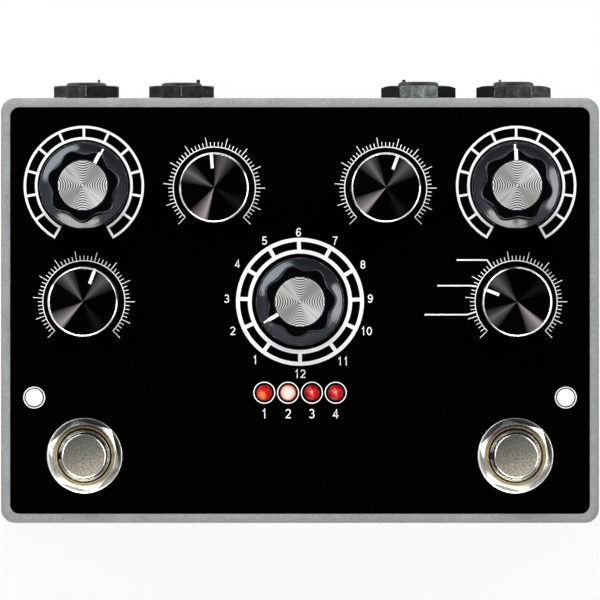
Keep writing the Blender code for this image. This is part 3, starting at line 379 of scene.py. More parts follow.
class Tree:
    """A node tree in the making."""

    def __init__(self, tree):
        self.nodes = tree.nodes
        self.links = tree.links

    def node(self, kind, inputs=None, **settings):
        """A new node, with its settings and with its inputs set or linked."""
        made = self.nodes.new(f"ShaderNode{kind}")
        for key, value in settings.items():
            setattr(made, key, value)
        for key, value in (inputs or {}).items():
            self.feed(made.inputs[key], value)
        return made

    def feed(self, socket, value):
        """Links a socket to another's output, or sets it to a plain value."""
        if isinstance(value, Number):
            value = value.socket
        if isinstance(value, bpy.types.NodeSocket):
            self.links.new(value, socket)
        else:
            socket.default_value = rgba(value) if socket.type == "RGBA" else value

    def maths(self, operation, first, second=0.0, clamp=False):
        """One sum on numbers."""
        made = self.node("Math", {0: first, 1: second}, operation=operation, use_clamp=clamp)
        return Number(self, made.outputs[0])

    def level(self, factor, low, high, start=0.0, end=1.0):
        """A number that runs from low to high as the factor runs from start to end."""
        inputs = {"Value": factor, "From Min": start, "From Max": end, "To Min": low, "To Max": high}
        return Number(self, self.node("MapRange", inputs).outputs[0])

    def ramp(self, factor, stops, interpolation="LINEAR"):
        """A colour ramp's output, its stops given as (place, colour)."""
        made = self.node("ValToRGB", {"Fac": factor})
        ramp = made.color_ramp
        ramp.interpolation = interpolation
        while len(ramp.elements) < len(stops):
            ramp.elements.new(0.5)
        for element, (place, colour) in zip(ramp.elements, stops):
            element.position = place
            element.color = rgba(colour)
        return made.outputs["Color"]


class Look(Tree):
    """A material in the making: its Principled shader and the nodes that feed it."""

    def __init__(self, name, values):
        self.material = LOOKS[name] = bpy.data.materials.new(name)
        self.material.use_nodes = True
        super().__init__(self.material.node_tree)
        self.shader = self.nodes["Principled BSDF"]
        for socket, value in values.items():
            self.feed(self.shader.inputs[socket], value)
        self.place = self.node("TexCoord").outputs["Object"]

    def noise(self, scale, detail=3.0, roughness=0.5, stretch=None):
        """Noise in metres of the object's own space, about 0.5."""
        vector = self.place
        if stretch:
            vector = self.node("Mapping", {"Vector": vector, "Scale": stretch}).outputs[0]
        inputs = {"Vector": vector, "Scale": scale, "Detail": detail, "Roughness": roughness}
        return Number(self, self.node("TexNoise", inputs).outputs["Fac"])

    def mix(self, factor, first, second, blend="MIX"):
        """Two colours mixed."""
        inputs = {"Factor": factor, 6: first, 7: second}
        return self.node("Mix", inputs, data_type="RGBA", blend_type=blend).outputs[2]

    def axes(self):
        """The object's own X, Y and Z."""
        return [Number(self, socket) for socket in self.node("SeparateXYZ", {0: self.place}).outputs]

    def polar(self):
        """The distance from the Z axis in metres, and the angle round it as a share of a turn."""
        x, y, _ = self.axes()
        turn = self.maths("FRACT", self.maths("ARCTAN2", y, x) / math.tau + 1.0)
        return self.maths("SQRT", x * x + y * y), turn

    def spun(self, radius):
        """Stretches reflections round the Z axis, and gives the fine uneven rings of a spun face."""
        tangent = self.node("Tangent", direction_type="RADIAL", axis="Z").outputs[0]
        self.feed(self.shader.inputs["Tangent"], tangent)
        inputs = {"W": radius * STREAKS_PER_METRE, "Scale": 1.0}
        return Number(self, self.node("TexNoise", inputs, noise_dimensions="1D").outputs["Fac"])

    def colour(self, value, glows=False):
        """Sets the surface's colour, and that of its glow."""
        self.feed(self.shader.inputs["Base Color"], value)
        if glows:
            self.feed(self.shader.inputs["Emission Color"], value)

    def rough(self, factor, low, high, start=0.3, end=0.7):
        """Lets the roughness follow a factor."""
        self.feed(self.shader.inputs["Roughness"], self.level(factor, low, high, start, end))

    def bump(self, height, distance):
        """Raises the surface by a height of 0 to 1 times a distance in metres."""
        inputs = {"Height": height, "Distance": distance, "Strength": 1.0}
        previous = self.shader.inputs["Normal"].links
        if previous:
            inputs["Normal"] = previous[0].from_socket
        self.feed(self.shader.inputs["Normal"], self.node("Bump", inputs).outputs[0])


# Looks of one or two noises: the shader's values, the noises, the colours that the first one gives, then the
# noise that the roughness follows with its range, and the one that the relief follows with its height
SIMPLE_LOOKS = {
    # The black ground of the printed face
    "face_black": (
        {SPECULAR: 0.02},
        [(2600.0, 2.0, 0.6)],
        ((0.35, 0.0001), (0.7, 0.0005)),
        (0, 0.28, 0.40),
        (0, 0.000008),
    ),
    # White ink, a little uneven
    "print_white": (
        {SPECULAR: 0.3},
        [(2400.0, 2.0, 0.6)],
        ((0.3, (0.93, 0.93, 0.925)), (0.7, (0.99, 0.99, 0.985))),
        (0, 0.4, 0.55),
        (0, 0.000006),
    ),
    # Polished black plastic
    "knob_gloss": (
        {"Specular Tint": (0.86, 0.91, 1.0), SPECULAR: 0.68},
        [(260.0, 3.0, 0.55), (900.0, 2.0, 0.6, STRETCHED)],
        ((0.3, (0.0002, 0.0002, 0.0003)), (0.7, (0.0007, 0.0007, 0.0010))),
        (1, 0.13, 0.20, 0.35, 0.7),
        (0, 0.00005),
    ),
    # Black anodised aluminium on the grip of a small knob
    "anodised_side": (
        METAL,
        [(2200.0, 2.0, 0.6, (1.0, 1.0, 0.15))],
        ((0.3, (0.018, 0.018, 0.020)), (0.7, (0.036, 0.035, 0.037))),
        (0, 0.28, 0.42),
    ),
    # Bare aluminium, bright from a diamond tool
    "cut_metal": (
        METAL,
        [(3000.0, 2.0, 0.6)],
        ((0.3, (0.88, 0.87, 0.86)), (0.7, (0.96, 0.955, 0.95))),
        (0, 0.12, 0.22),
    ),
    # Nickel plate with faint handling marks
    "nickel": (
        METAL,
        [(420.0, 4.0, 0.6), (3800.0, 3.0, 0.65)],
        ((0.3, (0.56, 0.56, 0.50)), (0.55, (0.80, 0.80, 0.73)), (0.75, (0.94, 0.94, 0.87))),
        (1, 0.14, 0.30),
        (1, 0.000012),
    ),
    # Dark moulded plastic, scuffed paler
    "nut_plastic": (
        {SPECULAR: 0.3},
        [(330.0, 5.0, 0.65), (2600.0, 3.0, 0.6, (1.0, 0.25, 1.0))],
        ((0.38, (0.008, 0.011, 0.0105)), (0.56, (0.017, 0.022, 0.021)), (0.74, (0.075, 0.090, 0.090))),
        (1, 0.32, 0.55),
        (1, 0.00003),
    ),
    # Zinc-plated steel
    "steel": (
        METAL,
        [(600.0, 4.0, 0.6), (3000.0,)],
        ((0.3, 0.40), (0.7, (0.62, 0.62, 0.61))),
        (0, 0.24, 0.42),
        (1, 0.00002),
    ),
    # Matt black rubber
    "rubber": (
        {SPECULAR: 0.3},
        [(2400.0, 4.0, 0.65)],
        ((0.3, 0.014), (0.7, 0.030)),
        (0, 0.7, 0.9),
        (0, 0.00006),
    ),
}

# Painted highlights in fans round a turn, then painted light and shade from a washer's front to its back, a
# painted reflection outwards over a nut, and a cap's painted highlights
FAN_HIGHLIGHTS = (
    (0.0, 0.0006), (0.095, 0.001), (0.125, (0.075, 0.070, 0.066)), (0.15, (0.230, 0.220, 0.208)),
    (0.175, (0.105, 0.100, 0.095)), (0.212, 0.002), (0.355, 0.001), (0.405, (0.290, 0.260, 0.260)),
    (0.438, (0.600, 0.545, 0.545)), (0.458, 0.001), (0.60, 0.0006), (0.645, (0.013, 0.013, 0.012)),
    (0.70, 0.0006), (0.862, 0.001), (0.90, (0.060, 0.055, 0.055)), (0.935, (0.175, 0.160, 0.160)),
    (0.965, (0.080, 0.074, 0.074)), (0.985, 0.0006),
)
# A small knob's cut rim: its bright tone, a dim one, and the stretches round a turn where painted reflections
# dim it
RIM_BRIGHT = (0.95, 0.945, 0.94)
RIM_PAINTED_DIM = (0.08, 0.078, 0.078)
RIM_REFLECTION_STRETCHES = (
    (0.095, RIM_BRIGHT), (0.130, (0.60, 0.595, 0.59)), (0.165, (0.28, 0.275, 0.27)),
    (0.220, (0.15, 0.147, 0.145)), (0.236, RIM_BRIGHT), (0.798, RIM_BRIGHT), (0.822, RIM_PAINTED_DIM),
    (0.846, RIM_PAINTED_DIM), (0.872, (0.50, 0.495, 0.49)), (0.890, RIM_BRIGHT),
)
WASHER_LIGHT_TO_SHADE = (
    (0.10, (0.98, 0.98, 0.92)), (0.36, (0.72, 0.72, 0.66)),
    (0.58, (0.24, 0.235, 0.21)), (0.85, (0.085, 0.083, 0.075)),
)
NUT_FRONT_REFLECTION = (
    (0.0, (0.012, 0.010, 0.007)), (0.24, (0.030, 0.022, 0.013)), (0.40, (0.600, 0.480, 0.290)),
    (0.56, (0.980, 0.850, 0.560)), (0.72, (0.620, 0.510, 0.300)), (0.86, (0.300, 0.250, 0.165)),
    (1.0, (0.560, 0.530, 0.440)),
)
NUT_BACK_REFLECTION = (
    (0.16, (0.010, 0.007, 0.004)), (0.36, (0.120, 0.080, 0.040)), (0.52, (0.620, 0.480, 0.280)),
    (0.66, (0.300, 0.215, 0.115)), (0.80, (0.035, 0.024, 0.013)), (1.0, (0.070, 0.055, 0.036)),
)
CAP_HIGHLIGHT_TONES = ((0.0, (0.03, 0.03, 0.028)), (0.5, (0.42, 0.415, 0.40)), (1.0, (0.97, 0.965, 0.94)))

# Each red lens: the direction of its painted highlight in degrees, the highlight's distance out and its
# reaches, the lens's glow, and its colours from the highlight outwards
RED_LENSES = {
    "red_lens": (122.0, 0.0001, (0.0014, 0.00085), 0.28, (
        (0.0, (0.90, 0.40, 0.30)), (0.20, (0.74, 0.16, 0.12)),
        (0.40, (0.52, 0.004, 0.010)), (1.0, (0.17, 0.001, 0.004)),
    )),
    "warm_lens": (225.0, 0.0009, (0.0011, 0.0011), 0.30, (
        (0.0, (0.84, 0.30, 0.08)), (0.35, (0.70, 0.10, 0.025)),
        (0.62, (0.52, 0.008, 0.008)), (1.0, (0.26, 0.002, 0.004)),
    )),
}


def simple_look(name, values, noises, colours, rough, bump=None):
    """A look of SIMPLE_LOOKS."""
    look = Look(name, values)
    noises = [look.noise(*each) for each in noises]
    look.colour(look.ramp(noises[0], colours))
    look.rough(noises[rough[0]], *rough[1:])
    if bump:
        look.bump(noises[bump[0]], bump[1])


def case_paint():
    """Grey paint with the grain of a casting under it."""
    look = Look("case_paint", {SPECULAR: 0.22})
    cloud = look.noise(160.0, 4.0, 0.6)
    grain = look.noise(1500.0, 3.0, 0.7)
    greys = ((0.34, (0.222, 0.227, 0.226)), (0.5, (0.275, 0.280, 0.277)), (0.66, (0.336, 0.341, 0.347)))
    look.colour(look.ramp(cloud * 0.35 + grain * 0.65, greys))
    look.rough(grain, 0.46, 0.66)
    look.bump(grain, 0.00006)
    look.bump(look.noise(5200.0, 2.0, 0.6), 0.00002)


def cap_metal():
    """Spun aluminium with painted highlights: curved bright lines in four quarters, a paler and a darker
    diagonal, and painted light that is brighter towards one side.
    """
    look = Look("cap_metal", {"Metallic": 0.55, "Anisotropic": 0.5, SPECULAR: 0.2})
    radius, turn = look.polar()
    streak = look.spun(radius)
    x, y, _ = look.axes()
    far, near = (look.maths(operation, abs(x), abs(y)) for operation in ("MAXIMUM", "MINIMUM"))
    reach = look.maths("SQRT", look.maths("MAXIMUM", far * far - near * near * CAP_GLINT_BEND, 0.0))
    lines = look.maths("SINE", reach * (math.tau / CAP_GLINT_PITCH))
    twice = turn * (2 * math.tau)
    strength = look.level(abs(look.maths("COSINE", twice)), 0.0, 0.95, 0.20, 0.90)
    diagonal = look.maths("SINE", twice)
    # Painted light, brighter towards one side of the cap
    lean = look.level(x - y, -0.10, 0.10, -CAP_RADIUS, CAP_RADIUS)
    ground = look.level(diagonal, 0.86, 0.46, -0.9, 1.0) + lean
    ground = ground + look.level(diagonal, -0.16, 0.0, -1.0, -0.985)
    value = ground + lines * strength + look.level(streak, -0.06, 0.06)
    look.colour(look.ramp(value, CAP_HIGHLIGHT_TONES))
    look.rough(streak, 0.28, 0.40, 0.0, 1.0)


def anodised_top():
    """Black anodised aluminium, spun, with painted highlights in fans that turn with the knob."""
    look = Look("anodised_top", {"Metallic": 0.4, "Anisotropic": 0.6, SPECULAR: 0.03})
    radius, turn = look.polar()
    streak = look.spun(radius)
    lines = look.maths("SINE", radius * (math.tau / SPUN_PITCH))
    cover = look.level(lines, 0.0, 0.42, -1.0, 1.0) + look.level(streak, 0.0, 0.2, 0.35, 0.65)
    look.colour(look.mix(cover, look.ramp(turn, FAN_HIGHLIGHTS), BLACK))
    look.rough(streak, 0.26, 0.38, 0.0, 1.0)
    look.bump(lines, 0.000004)


def rim_metal():
    """The cut rim of a small knob, bright, with two stretches round it where painted reflections dim it."""
    look = Look("rim_metal", METAL)
    grain = look.noise(3000.0, 2.0, 0.6)
    stretches = look.ramp(look.polar()[1], RIM_REFLECTION_STRETCHES)
    look.colour(look.mix(look.level(grain, 0.0, 0.12, 0.3, 0.7), stretches, (0.80, 0.79, 0.78)))
    look.rough(grain, 0.12, 0.22)


def washer_metal():
    """Blasted nickel plate with painted light: bright in front of the nut, darkening into painted shade
    towards the back, and bright at its rim.
    """
    look = Look("washer_metal", METAL)
    x, y, _ = look.axes()
    # Painted light and shade, from bright in front to dark at the back
    slope = look.level(y + x * 0.45, 0.0, 1.0, -WASHER_RADIUS, WASHER_RADIUS)
    grain = look.noise(1500.0, 4.0, 0.7)
    plate = look.ramp(slope + look.level(grain, -0.13, 0.13, 0.3, 0.7), WASHER_LIGHT_TO_SHADE)
    rim = look.level(look.polar()[0], 0.0, 1.0, *(WASHER_RADIUS - inset for inset in WASHER_RIM))
    look.colour(look.mix(rim, plate, (0.98, 0.98, 0.94)))
    look.rough(grain, 0.34, 0.50)


def nickel_warm():
    """The nut's turned face, with a painted reflection: a warm pale band between two dark lines, paler in
    front and in painted shade at the back.
    """
    look = Look("nickel_warm", {"Metallic": 0.85})
    across = look.level(look.polar()[0], 0.0, 1.0, BUSHING_RADIUS, SWITCH_NUT_FACE_RADIUS)
    glint = across + look.level(look.noise(1900.0, 4.0, 0.7), -0.06, 0.06, 0.3, 0.7)
    ends = [share * BUSHING_RADIUS for share in NUT_SHADE_SHARES]
    # Painted shade towards the back, from the front's reflection to the back's
    behind = look.level(look.axes()[1], 0.0, 1.0, *ends)
    look.colour(look.mix(behind, look.ramp(glint, NUT_FRONT_REFLECTION), look.ramp(glint, NUT_BACK_REFLECTION)))
    look.rough(look.noise(2600.0), 0.26, 0.42)


def button_metal():
    """The pebbled crown of a foot switch's button, with painted light: dark and cool at the back, pale and
    warm at the front, flecked with dark speckles.
    """
    look = Look("button_metal", {"Metallic": 0.45, SPECULAR: 0.2})
    x, y, _ = look.axes()
    # Painted light: darker and cooler towards the back, paler and warmer towards the front
    slope = look.level(x * 0.35 - y, 0.0, 1.0, -BUTTON_RADIUS, BUTTON_RADIUS)
    pebble = look.noise(2100.0, 2.0, 0.55)
    tones = ((0.0, (0.125, 0.127, 0.112)), (0.5, (0.310, 0.304, 0.256)), (1.0, (0.760, 0.700, 0.530)))
    # Dark speckles over the pebbles
    dark_speckles = look.level(pebble, 0.0, 0.6, 0.4, 0.62)
    look.colour(look.mix(dark_speckles, look.ramp(slope, tones), (0.06, 0.058, 0.048)))
    look.rough(pebble, 0.3, 0.5)


def nut_flats(name, turn, tones):
    """A nut's dark plastic, mottled with scuffs: each flat has its own tone of painted light and shade, and
    the corners between them are paler with wear and with a painted highlight.
    """
    look = Look(name, {SPECULAR: 0.06})
    sixth = look.maths("FRACT", look.polar()[1] + (1 + 1 / 12 - turn / 360))
    # Painted light and shade: a grey for each flat of the nut
    greys = [(0.93 * grey, grey, grey) for grey in (NUT_GREY, NUT_GREY, NUT_GREY, *tones)]
    flats = look.ramp(sixth, [(index / 6, grey) for index, grey in enumerate(greys)], "CONSTANT")
    cloud = look.noise(420.0, 5.0, 0.7)
    shaded_and_scuffed = look.mix(1.0, flats, look.ramp(cloud, ((0.36, 0.45), (0.5, 0.85), (0.66, 1.9))), "MULTIPLY")
    # The corners, paler with wear and with a painted highlight
    corner = 0.5 - abs(look.maths("FRACT", sixth * 6.0) - 0.5)
    chips = look.level(look.noise(1500.0, 3.0, 0.6), 0.0, 1.0, 0.44, 0.58)
    glint = look.level(corner, 1.0, 0.0, NUT_EDGE_START, NUT_EDGE_END) * chips
    look.colour(look.mix(glint, shaded_and_scuffed, (0.24, 0.26, 0.255)))
    look.rough(cloud, 0.45, 0.65)
    look.bump(look.noise(2600.0, 3.0, 0.6, (1.0, 1.0, 0.25)), 0.00003)


def board_green():
    """Solder mask over copper tracks."""
    look = Look("board_green", {"Coat Weight": 0.3, "Coat Roughness": 0.2})
    tracks = look.node("TexBrick", {"Vector": look.place, "Scale": 260.0}).outputs["Fac"]
    look.colour(look.mix(tracks, (0.010, 0.085, 0.035), (0.030, 0.180, 0.075)))
    look.rough(look.noise(1800.0), 0.3, 0.45)
    look.bump(tracks, 0.00003)


def lens_edge(look, shade):
    """A lens colour with painted shade where the dome turns down into its sleeve."""
    edge = look.level(look.polar()[0], 0.0, 0.96, LENS_SHADE_START, LENS_SHADE_END)
    return look.mix(edge, shade, (0.010, 0.001, 0.001))


def red_lens(name, turn, spot, reaches, glow, colours):
    """A red lamp's lens: a pale painted highlight that fades to deep red, painted shade at its edge, lit by
    its own glow.
    """
    look = Look(name, {SPECULAR: 0.15, GLOW: glow})
    x, y, _ = look.axes()
    cos, sin = math.cos(math.radians(turn)), math.sin(math.radians(turn))
    along = (x * cos + y * sin - spot) / reaches[0]
    across = (x * sin - y * cos) / reaches[1]
    cloud = look.noise(1500.0, 3.0, 0.6)
    reach = look.maths("SQRT", along * along + across * across) + look.level(cloud, -0.45, 0.45, 0.3, 0.7)
    look.colour(lens_edge(look, look.ramp(look.level(reach, 0.0, 1.0, 0.0, 2.0), colours)), glows=True)
    look.rough(cloud, 0.14, 0.28)
    look.bump(cloud, 0.00004)


def lit_lens():
    """The lens of the lamp that is fully lit, with painted shade at its edge."""
    look = Look("lit_lens", {"Coat Weight": 0.1, "Coat Roughness": 0.2, GLOW: 0.35})
    cloud = look.noise(2600.0, 2.0, 0.6)
    reach = look.polar()[0] * (1 / LIT_REACH) + look.level(cloud, -0.05, 0.05, 0.3, 0.7)
    pale = look.mix(look.level(cloud, 0.0, 1.0, 0.42, 0.6), (0.66, 0.66, 0.60), (0.52, 0.58, 0.56))
    rosy = ((0.36, (0.74, 0.60, 0.52)), (0.62, (0.78, 0.47, 0.37)), (0.84, (0.56, 0.12, 0.10)))
    shade = look.mix(look.level(reach, 0.0, 1.0, 0.25, 0.5), pale, look.ramp(reach, rosy))
    look.colour(lens_edge(look, shade), glows=True)
    look.rough(cloud, 0.2, 0.3)


def white_lens():
    """A milky white lens."""
    look = Look("white_lens", {"Coat Weight": 0.2, GLOW: 0.25})
    cloud = look.noise(900.0, 2.0, 0.5)
    look.colour(look.ramp(cloud, ((0.3, 0.93), (0.7, 0.98))), glows=True)
    look.rough(cloud, 0.3, 0.4)


def make_looks():
    """Every material of the pedal, kept in LOOKS under its name."""
    for name, values in SIMPLE_LOOKS.items():
        simple_look(name, *values)
    for name, values in JACKS.items():
        nut_flats(f"{name}_nut", values[0], values[-1])
    for special in (case_paint, cap_metal, anodised_top, rim_metal, washer_metal, nickel_warm, button_metal):
        special()
    for special in (board_green, lit_lens, white_lens):
        special()
    for name, values in RED_LENSES.items():
        red_lens(name, *values)


def loft(rings, shape=None, closed=False, bands=None):
    """A shape through closed rings of points, or one with these added. Its ends are capped, or joined."""
    shape = bmesh.new() if shape is None else shape
    rows = [[shape.verts.new(point) for point in points] for points in rings]
    bands = bands or [0] * len(rows)
    following = rows[1:] + (rows[:1] if closed else [])
    for low, high, look in zip(rows, following, bands):
        for index in range(len(low)):
            after = (index + 1) % len(low)
            shape.faces.new((low[index], low[after], high[after], high[index])).material_index = look
    if not closed:
        shape.faces.new(rows[0]).material_index = bands[0]
        shape.faces.new(rows[-1]).material_index = bands[-1]
    return shape


def ring(radius, height, steps, depth=0.0, fall=0.0, waves=0):
    """Points round the Z axis, moved out by waves of a depth, which fall by their own height."""
    points = []
    for index in range(steps):
        around = math.tau * index / steps
        wave = math.cos(waves * around)
        reach = radius + depth * wave
        points.append((reach * math.cos(around), reach * math.sin(around), height - fall * wave))
    return points


def turned(profile, steps=ROUND_STEPS, closed=False, bands=None, waves=0):
    """A solid of revolution. A profile's point is (radius, height), and may add waves as ring does."""
    rings = [ring(*point[:2], steps, *point[2:], waves=waves) for point in profile]
    return loft(rings, None, closed, bands)


def arc(x, y, radius_x, radius_y, start, end, steps=14):
    """Points of an elliptic arc from one angle to another in degrees."""
    points = []
    for index in range(steps + 1):
        angle = math.radians(start + (end - start) * index / steps)
        points.append((x + radius_x * math.cos(angle), y + radius_y * math.sin(angle)))
    return points


def rounded_rectangle(length, width, corner, height):
    """The ring of points of a rectangle with round corners."""
    points = []
    for quarter, (side_x, side_y) in enumerate(((1, 1), (-1, 1), (-1, -1), (1, -1))):
        x = MIDDLE.x + side_x * (length / 2 - corner)
        y = MIDDLE.y + side_y * (width / 2 - corner)
        for index in range(CORNER_STEPS + 1):
            angle = math.radians(90) * (quarter + index / CORNER_STEPS)
            points.append((x + corner * math.cos(angle), y + corner * math.sin(angle), height))
    return points


def box_shape(low, high, shape=None):
    """A box, or a shape with one added, for a cutter, a piece inside the case or the floor."""
    corners = [(low[0], low[1]), (high[0], low[1]), (high[0], high[1]), (low[0], high[1])]
    return loft([[(x, y, z) for x, y in corners] for z in (low[2], high[2])], shape)


def mesh_of(name, shape):
    """An object from a bmesh, its faces turned outwards."""
    bmesh.ops.recalc_face_normals(shape, faces=shape.faces)
    mesh = bpy.data.meshes.new(name)
    shape.to_mesh(mesh)
    shape.free()
    made = bpy.data.objects.new(name, mesh)
    bpy.context.scene.collection.objects.link(made)
    return made


def combine(made, operation, shape):
    """Applies a Boolean of an object with a helper shape."""
    helper = mesh_of("helper", shape)
    for look in made.data.materials:
        helper.data.materials.append(look)
    modifier = made.modifiers.new("boolean", "BOOLEAN")
    modifier.operation = operation
    modifier.solver = "EXACT"
    modifier.object = helper
    bpy.context.view_layer.update()
    result = bpy.data.meshes.new_from_object(made.evaluated_get(bpy.context.evaluated_depsgraph_get()))
    made.modifiers.clear()
    made.data = result
    bpy.data.objects.remove(helper, do_unlink=True)


def piece(name, shape, looks, node=None, place=None, cut=None, trim=None, body="case"):
    """A finished piece that rides on a body. looks names its materials, node the solid that it stands for."""
    made = mesh_of(name, shape)
    for look in looks.split():
        made.data.materials.append(LOOKS[look])
    if trim:
        combine(made, "INTERSECT", trim)
    for cutter in cut or ():
        combine(made, "DIFFERENCE", cutter)
    made.data.shade_smooth()
    made.data.set_sharp_from_angle(angle=SMOOTH_ANGLE)
    if place:
        made.matrix_world = place
    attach(made, body)
    if node:
        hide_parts(node)
    return made


def box_of(node):
    """A node's low and high corners, and its middle."""
    low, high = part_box(node)
    return low, high, (low + high) / 2


def bores(places, start, end, rear=False):
    """A cutter with a bore at each place, through the face or through the rear wall."""
    shape = bmesh.new()
    for centre, radius in places:
        circle = [(x, y) for x, y, _ in ring(radius, 0.0, SMALL_STEPS)]
        if rear:
            rings = [[(centre.x + x, reach, centre.z + z) for x, z in circle] for reach in (start, end)]
        else:
            rings = [[(centre.x + x, centre.y + y, reach) for x, y in circle] for reach in (start, end)]
        loft(rings, shape)
    return shape


def face_holes(depth):
    """A cutter for every hole of the face."""
    places = []
    for name, centre in CENTRES.items():
        places.append((centre, SWITCH_HOLE if name in ("mode", "selector") else POT_HOLE))
    places += [(box_of(f"{side}_footswitch_button")[2], FOOTSWITCH_HOLE) for side in ("left", "right")]
    places += [(box_of(name)[2], radius) for name, radius in LAMPS.items()]
    return bores(places, FACE - depth, FACE + CASE_ROOF)


def rear_holes():
    """A cutter for the holes of the rear wall."""
    places = [(box_of(f"{jack}_nut")[2], JACK_HOLE) for jack in JACKS]
    places.append((Vector((0.0, 0.0, places[0][0].z)), INLET_HOLE))
    return bores(places, CASE_HIGH.y - 4 * CASE_WALL, CASE_HIGH.y + CASE_WALL, rear=True)


def make_case():
    """The cast shell and its face panel."""
    length, width, _ = CASE_HIGH - CASE_LOW
    plate = (PLATE_HIGH.x - PLATE_LOW.x, PLATE_HIGH.y - PLATE_LOW.y, FACE_CORNER)
    rim = CASE_LOW.z

    def outline(inset, height, corner):
        inset += (height - rim) * CASE_LEAN
        return rounded_rectangle(length - 2 * inset, width - 2 * inset, corner, height)

    pocket = (plate[0] + 2 * PANEL_PLAY, plate[1] + 2 * PANEL_PLAY, FACE_CORNER + PANEL_PLAY)
    rings = [
        rounded_rectangle(*pocket, FACE - (PLATE_HIGH.z - PLATE_LOW.z) - SEAT_GAP),
        rounded_rectangle(*pocket, FACE - FACE_EDGE),
        rounded_rectangle(*(size + FACE_EDGE for size in pocket), FACE),
    ]
    for inset, height in arc(CASE_EDGE, FACE - CASE_EDGE, -CASE_EDGE, CASE_EDGE, 90, 0, EDGE_STEPS):
        rings.append(outline(inset, height, CASE_CORNER - inset))
    rings += [
        outline(0.0, rim + CASE_RIM_EDGE, CASE_CORNER),
        outline(CASE_RIM_EDGE, rim, CASE_CORNER - CASE_RIM_EDGE),
        outline(CASE_WALL, rim, CASE_CORNER / 2),
        outline(CASE_WALL, FACE - CASE_ROOF - CASE_EDGE, CASE_CORNER / 2),
        outline(CASE_WALL + CASE_EDGE, FACE - CASE_ROOF, CASE_CORNER / 4),
    ]
    cutters = (face_holes(2 * CASE_ROOF), rear_holes())
    piece("case_shell", loft(rings), "case_paint", "enclosure", cut=cutters)
    rings = [rounded_rectangle(*plate, height) for height in (PLATE_LOW.z, PLATE_HIGH.z - FACE_EDGE)]
    rings.append(rounded_rectangle(*(size - 2 * FACE_EDGE for size in plate[:2]), FACE_CORNER, PLATE_HIGH.z))
    piece("face_panel", loft(rings), "face_black", "face_plate", cut=(face_holes(CASE_ROOF),))


def heading(degrees):
    """The direction on the face at an angle."""
    return Vector((math.cos(math.radians(degrees)), math.sin(math.radians(degrees)), 0.0))


def section(point, across, inner, outer, top):
    """The cross-section of a printed line over a point of the face."""
    corners = ((inner, FACE - PRINT_SUNK), (outer, FACE - PRINT_SUNK), (outer, top), (inner, top))
    return [Vector((point.x, point.y, height)) + across * reach for reach, height in corners]


def band(shape, centre, inner, outer, start, end):
    """Adds a printed arc, or a whole ring, round a centre of the face. Angles are in degrees."""
    whole = end - start >= 360
    steps = max(2, round((end - start) / BAND_STEP_DEGREES))
    angles = [start + (end - start) * index / steps for index in range(steps if whole else steps + 1)]
    loft([section(centre, heading(angle), inner, outer, PRINT_TOP) for angle in angles], shape, whole)


def ribbon(shape, points, width, top, closed=False):
    """Adds a printed line of one width along points of the face."""
    rows = []
    count = len(points)
    for index, point in enumerate(points):
        before = points[index - 1] if index or closed else point
        after = points[(index + 1) % count] if index + 1 < count or closed else point
        arriving = (point - before).normalized()
        leaving = (after - point).normalized()
        direction = (arriving + leaving).normalized()
        side = Vector((-direction.y, direction.x, 0.0))
        straight = arriving if arriving.length else leaving
        mitre = width / 2 / max(MITRE_LIMIT, abs(side.dot(Vector((-straight.y, straight.x, 0.0)))))
        rows.append(section(point, side, -mitre, mitre, top))
    loft(rows, shape, closed)


# Each digit's strokes in its own unit square, and whether each closes on itself
DIGITS = {
    "0": [(arc(0.5, 0.5, 0.42, 0.43, 0, 345), True)],
    "1": [([(0.22, 0.76), (0.42, 0.82), (0.58, 1.0), (0.58, 0.0)], False)],
    "2": [(arc(0.5, 0.69, 0.40, 0.25, 165, -35) + [(0.12, 0.07), (0.98, 0.07)], False)],
    "3": [(arc(0.46, 0.72, 0.36, 0.22, 155, -90) + arc(0.46, 0.28, 0.42, 0.22, 90, -155)[1:], False)],
    "4": [([(0.98, 0.27), (0.08, 0.27), (0.68, 0.94), (0.68, 0.0)], False)],
    "5": [([(0.88, 0.93), (0.24, 0.93), (0.16, 0.52)] + arc(0.48, 0.32, 0.41, 0.26, 125, -155), False)],
    "6": [(arc(0.5, 0.31, 0.38, 0.25, 0, 345), True), (arc(0.56, 0.50, 0.46, 0.44, 195, 42), False)],
    "7": [([(0.06, 0.93), (0.90, 0.93), (0.56, 0.48), (0.38, 0.0)], False)],
    "8": [(arc(0.5, 0.72, 0.34, 0.21, 0, 345), True), (arc(0.5, 0.29, 0.40, 0.23, 0, 345), True)],
    "9": [(arc(0.5, 0.69, 0.38, 0.25, 0, 345), True), (arc(0.44, 0.50, 0.46, 0.44, 15, -138), False)],
}


def number(shape, text, x, y, height):
    """Adds a number, centred on a place of the face."""
    width = height * NUMBER_WIDTH_SHARE
    pitch = width * (1 + NUMBER_SPACE_SHARE)
    left = x - (pitch * (len(text) - 1) + width) / 2
    order = 0
    for place, digit in enumerate(text):
        for points, closed in DIGITS[digit]:
            order += 1
            corner = Vector((left + place * pitch, y - height / 2, 0.0))
            path = [corner + Vector((u * width, v * height, 0.0)) for u, v in points]
            ribbon(shape, path, NUMBER_STROKE, PRINT_TOP + order * CROSSING_STEP, closed)


def rung(shape, centre, degrees, reaches, width):
    """Adds a printed line that points away from a centre."""
    path = [centre + heading(degrees) * reach for reach in reaches]
    ribbon(shape, path, width, PRINT_TOP - CROSSING_STEP)


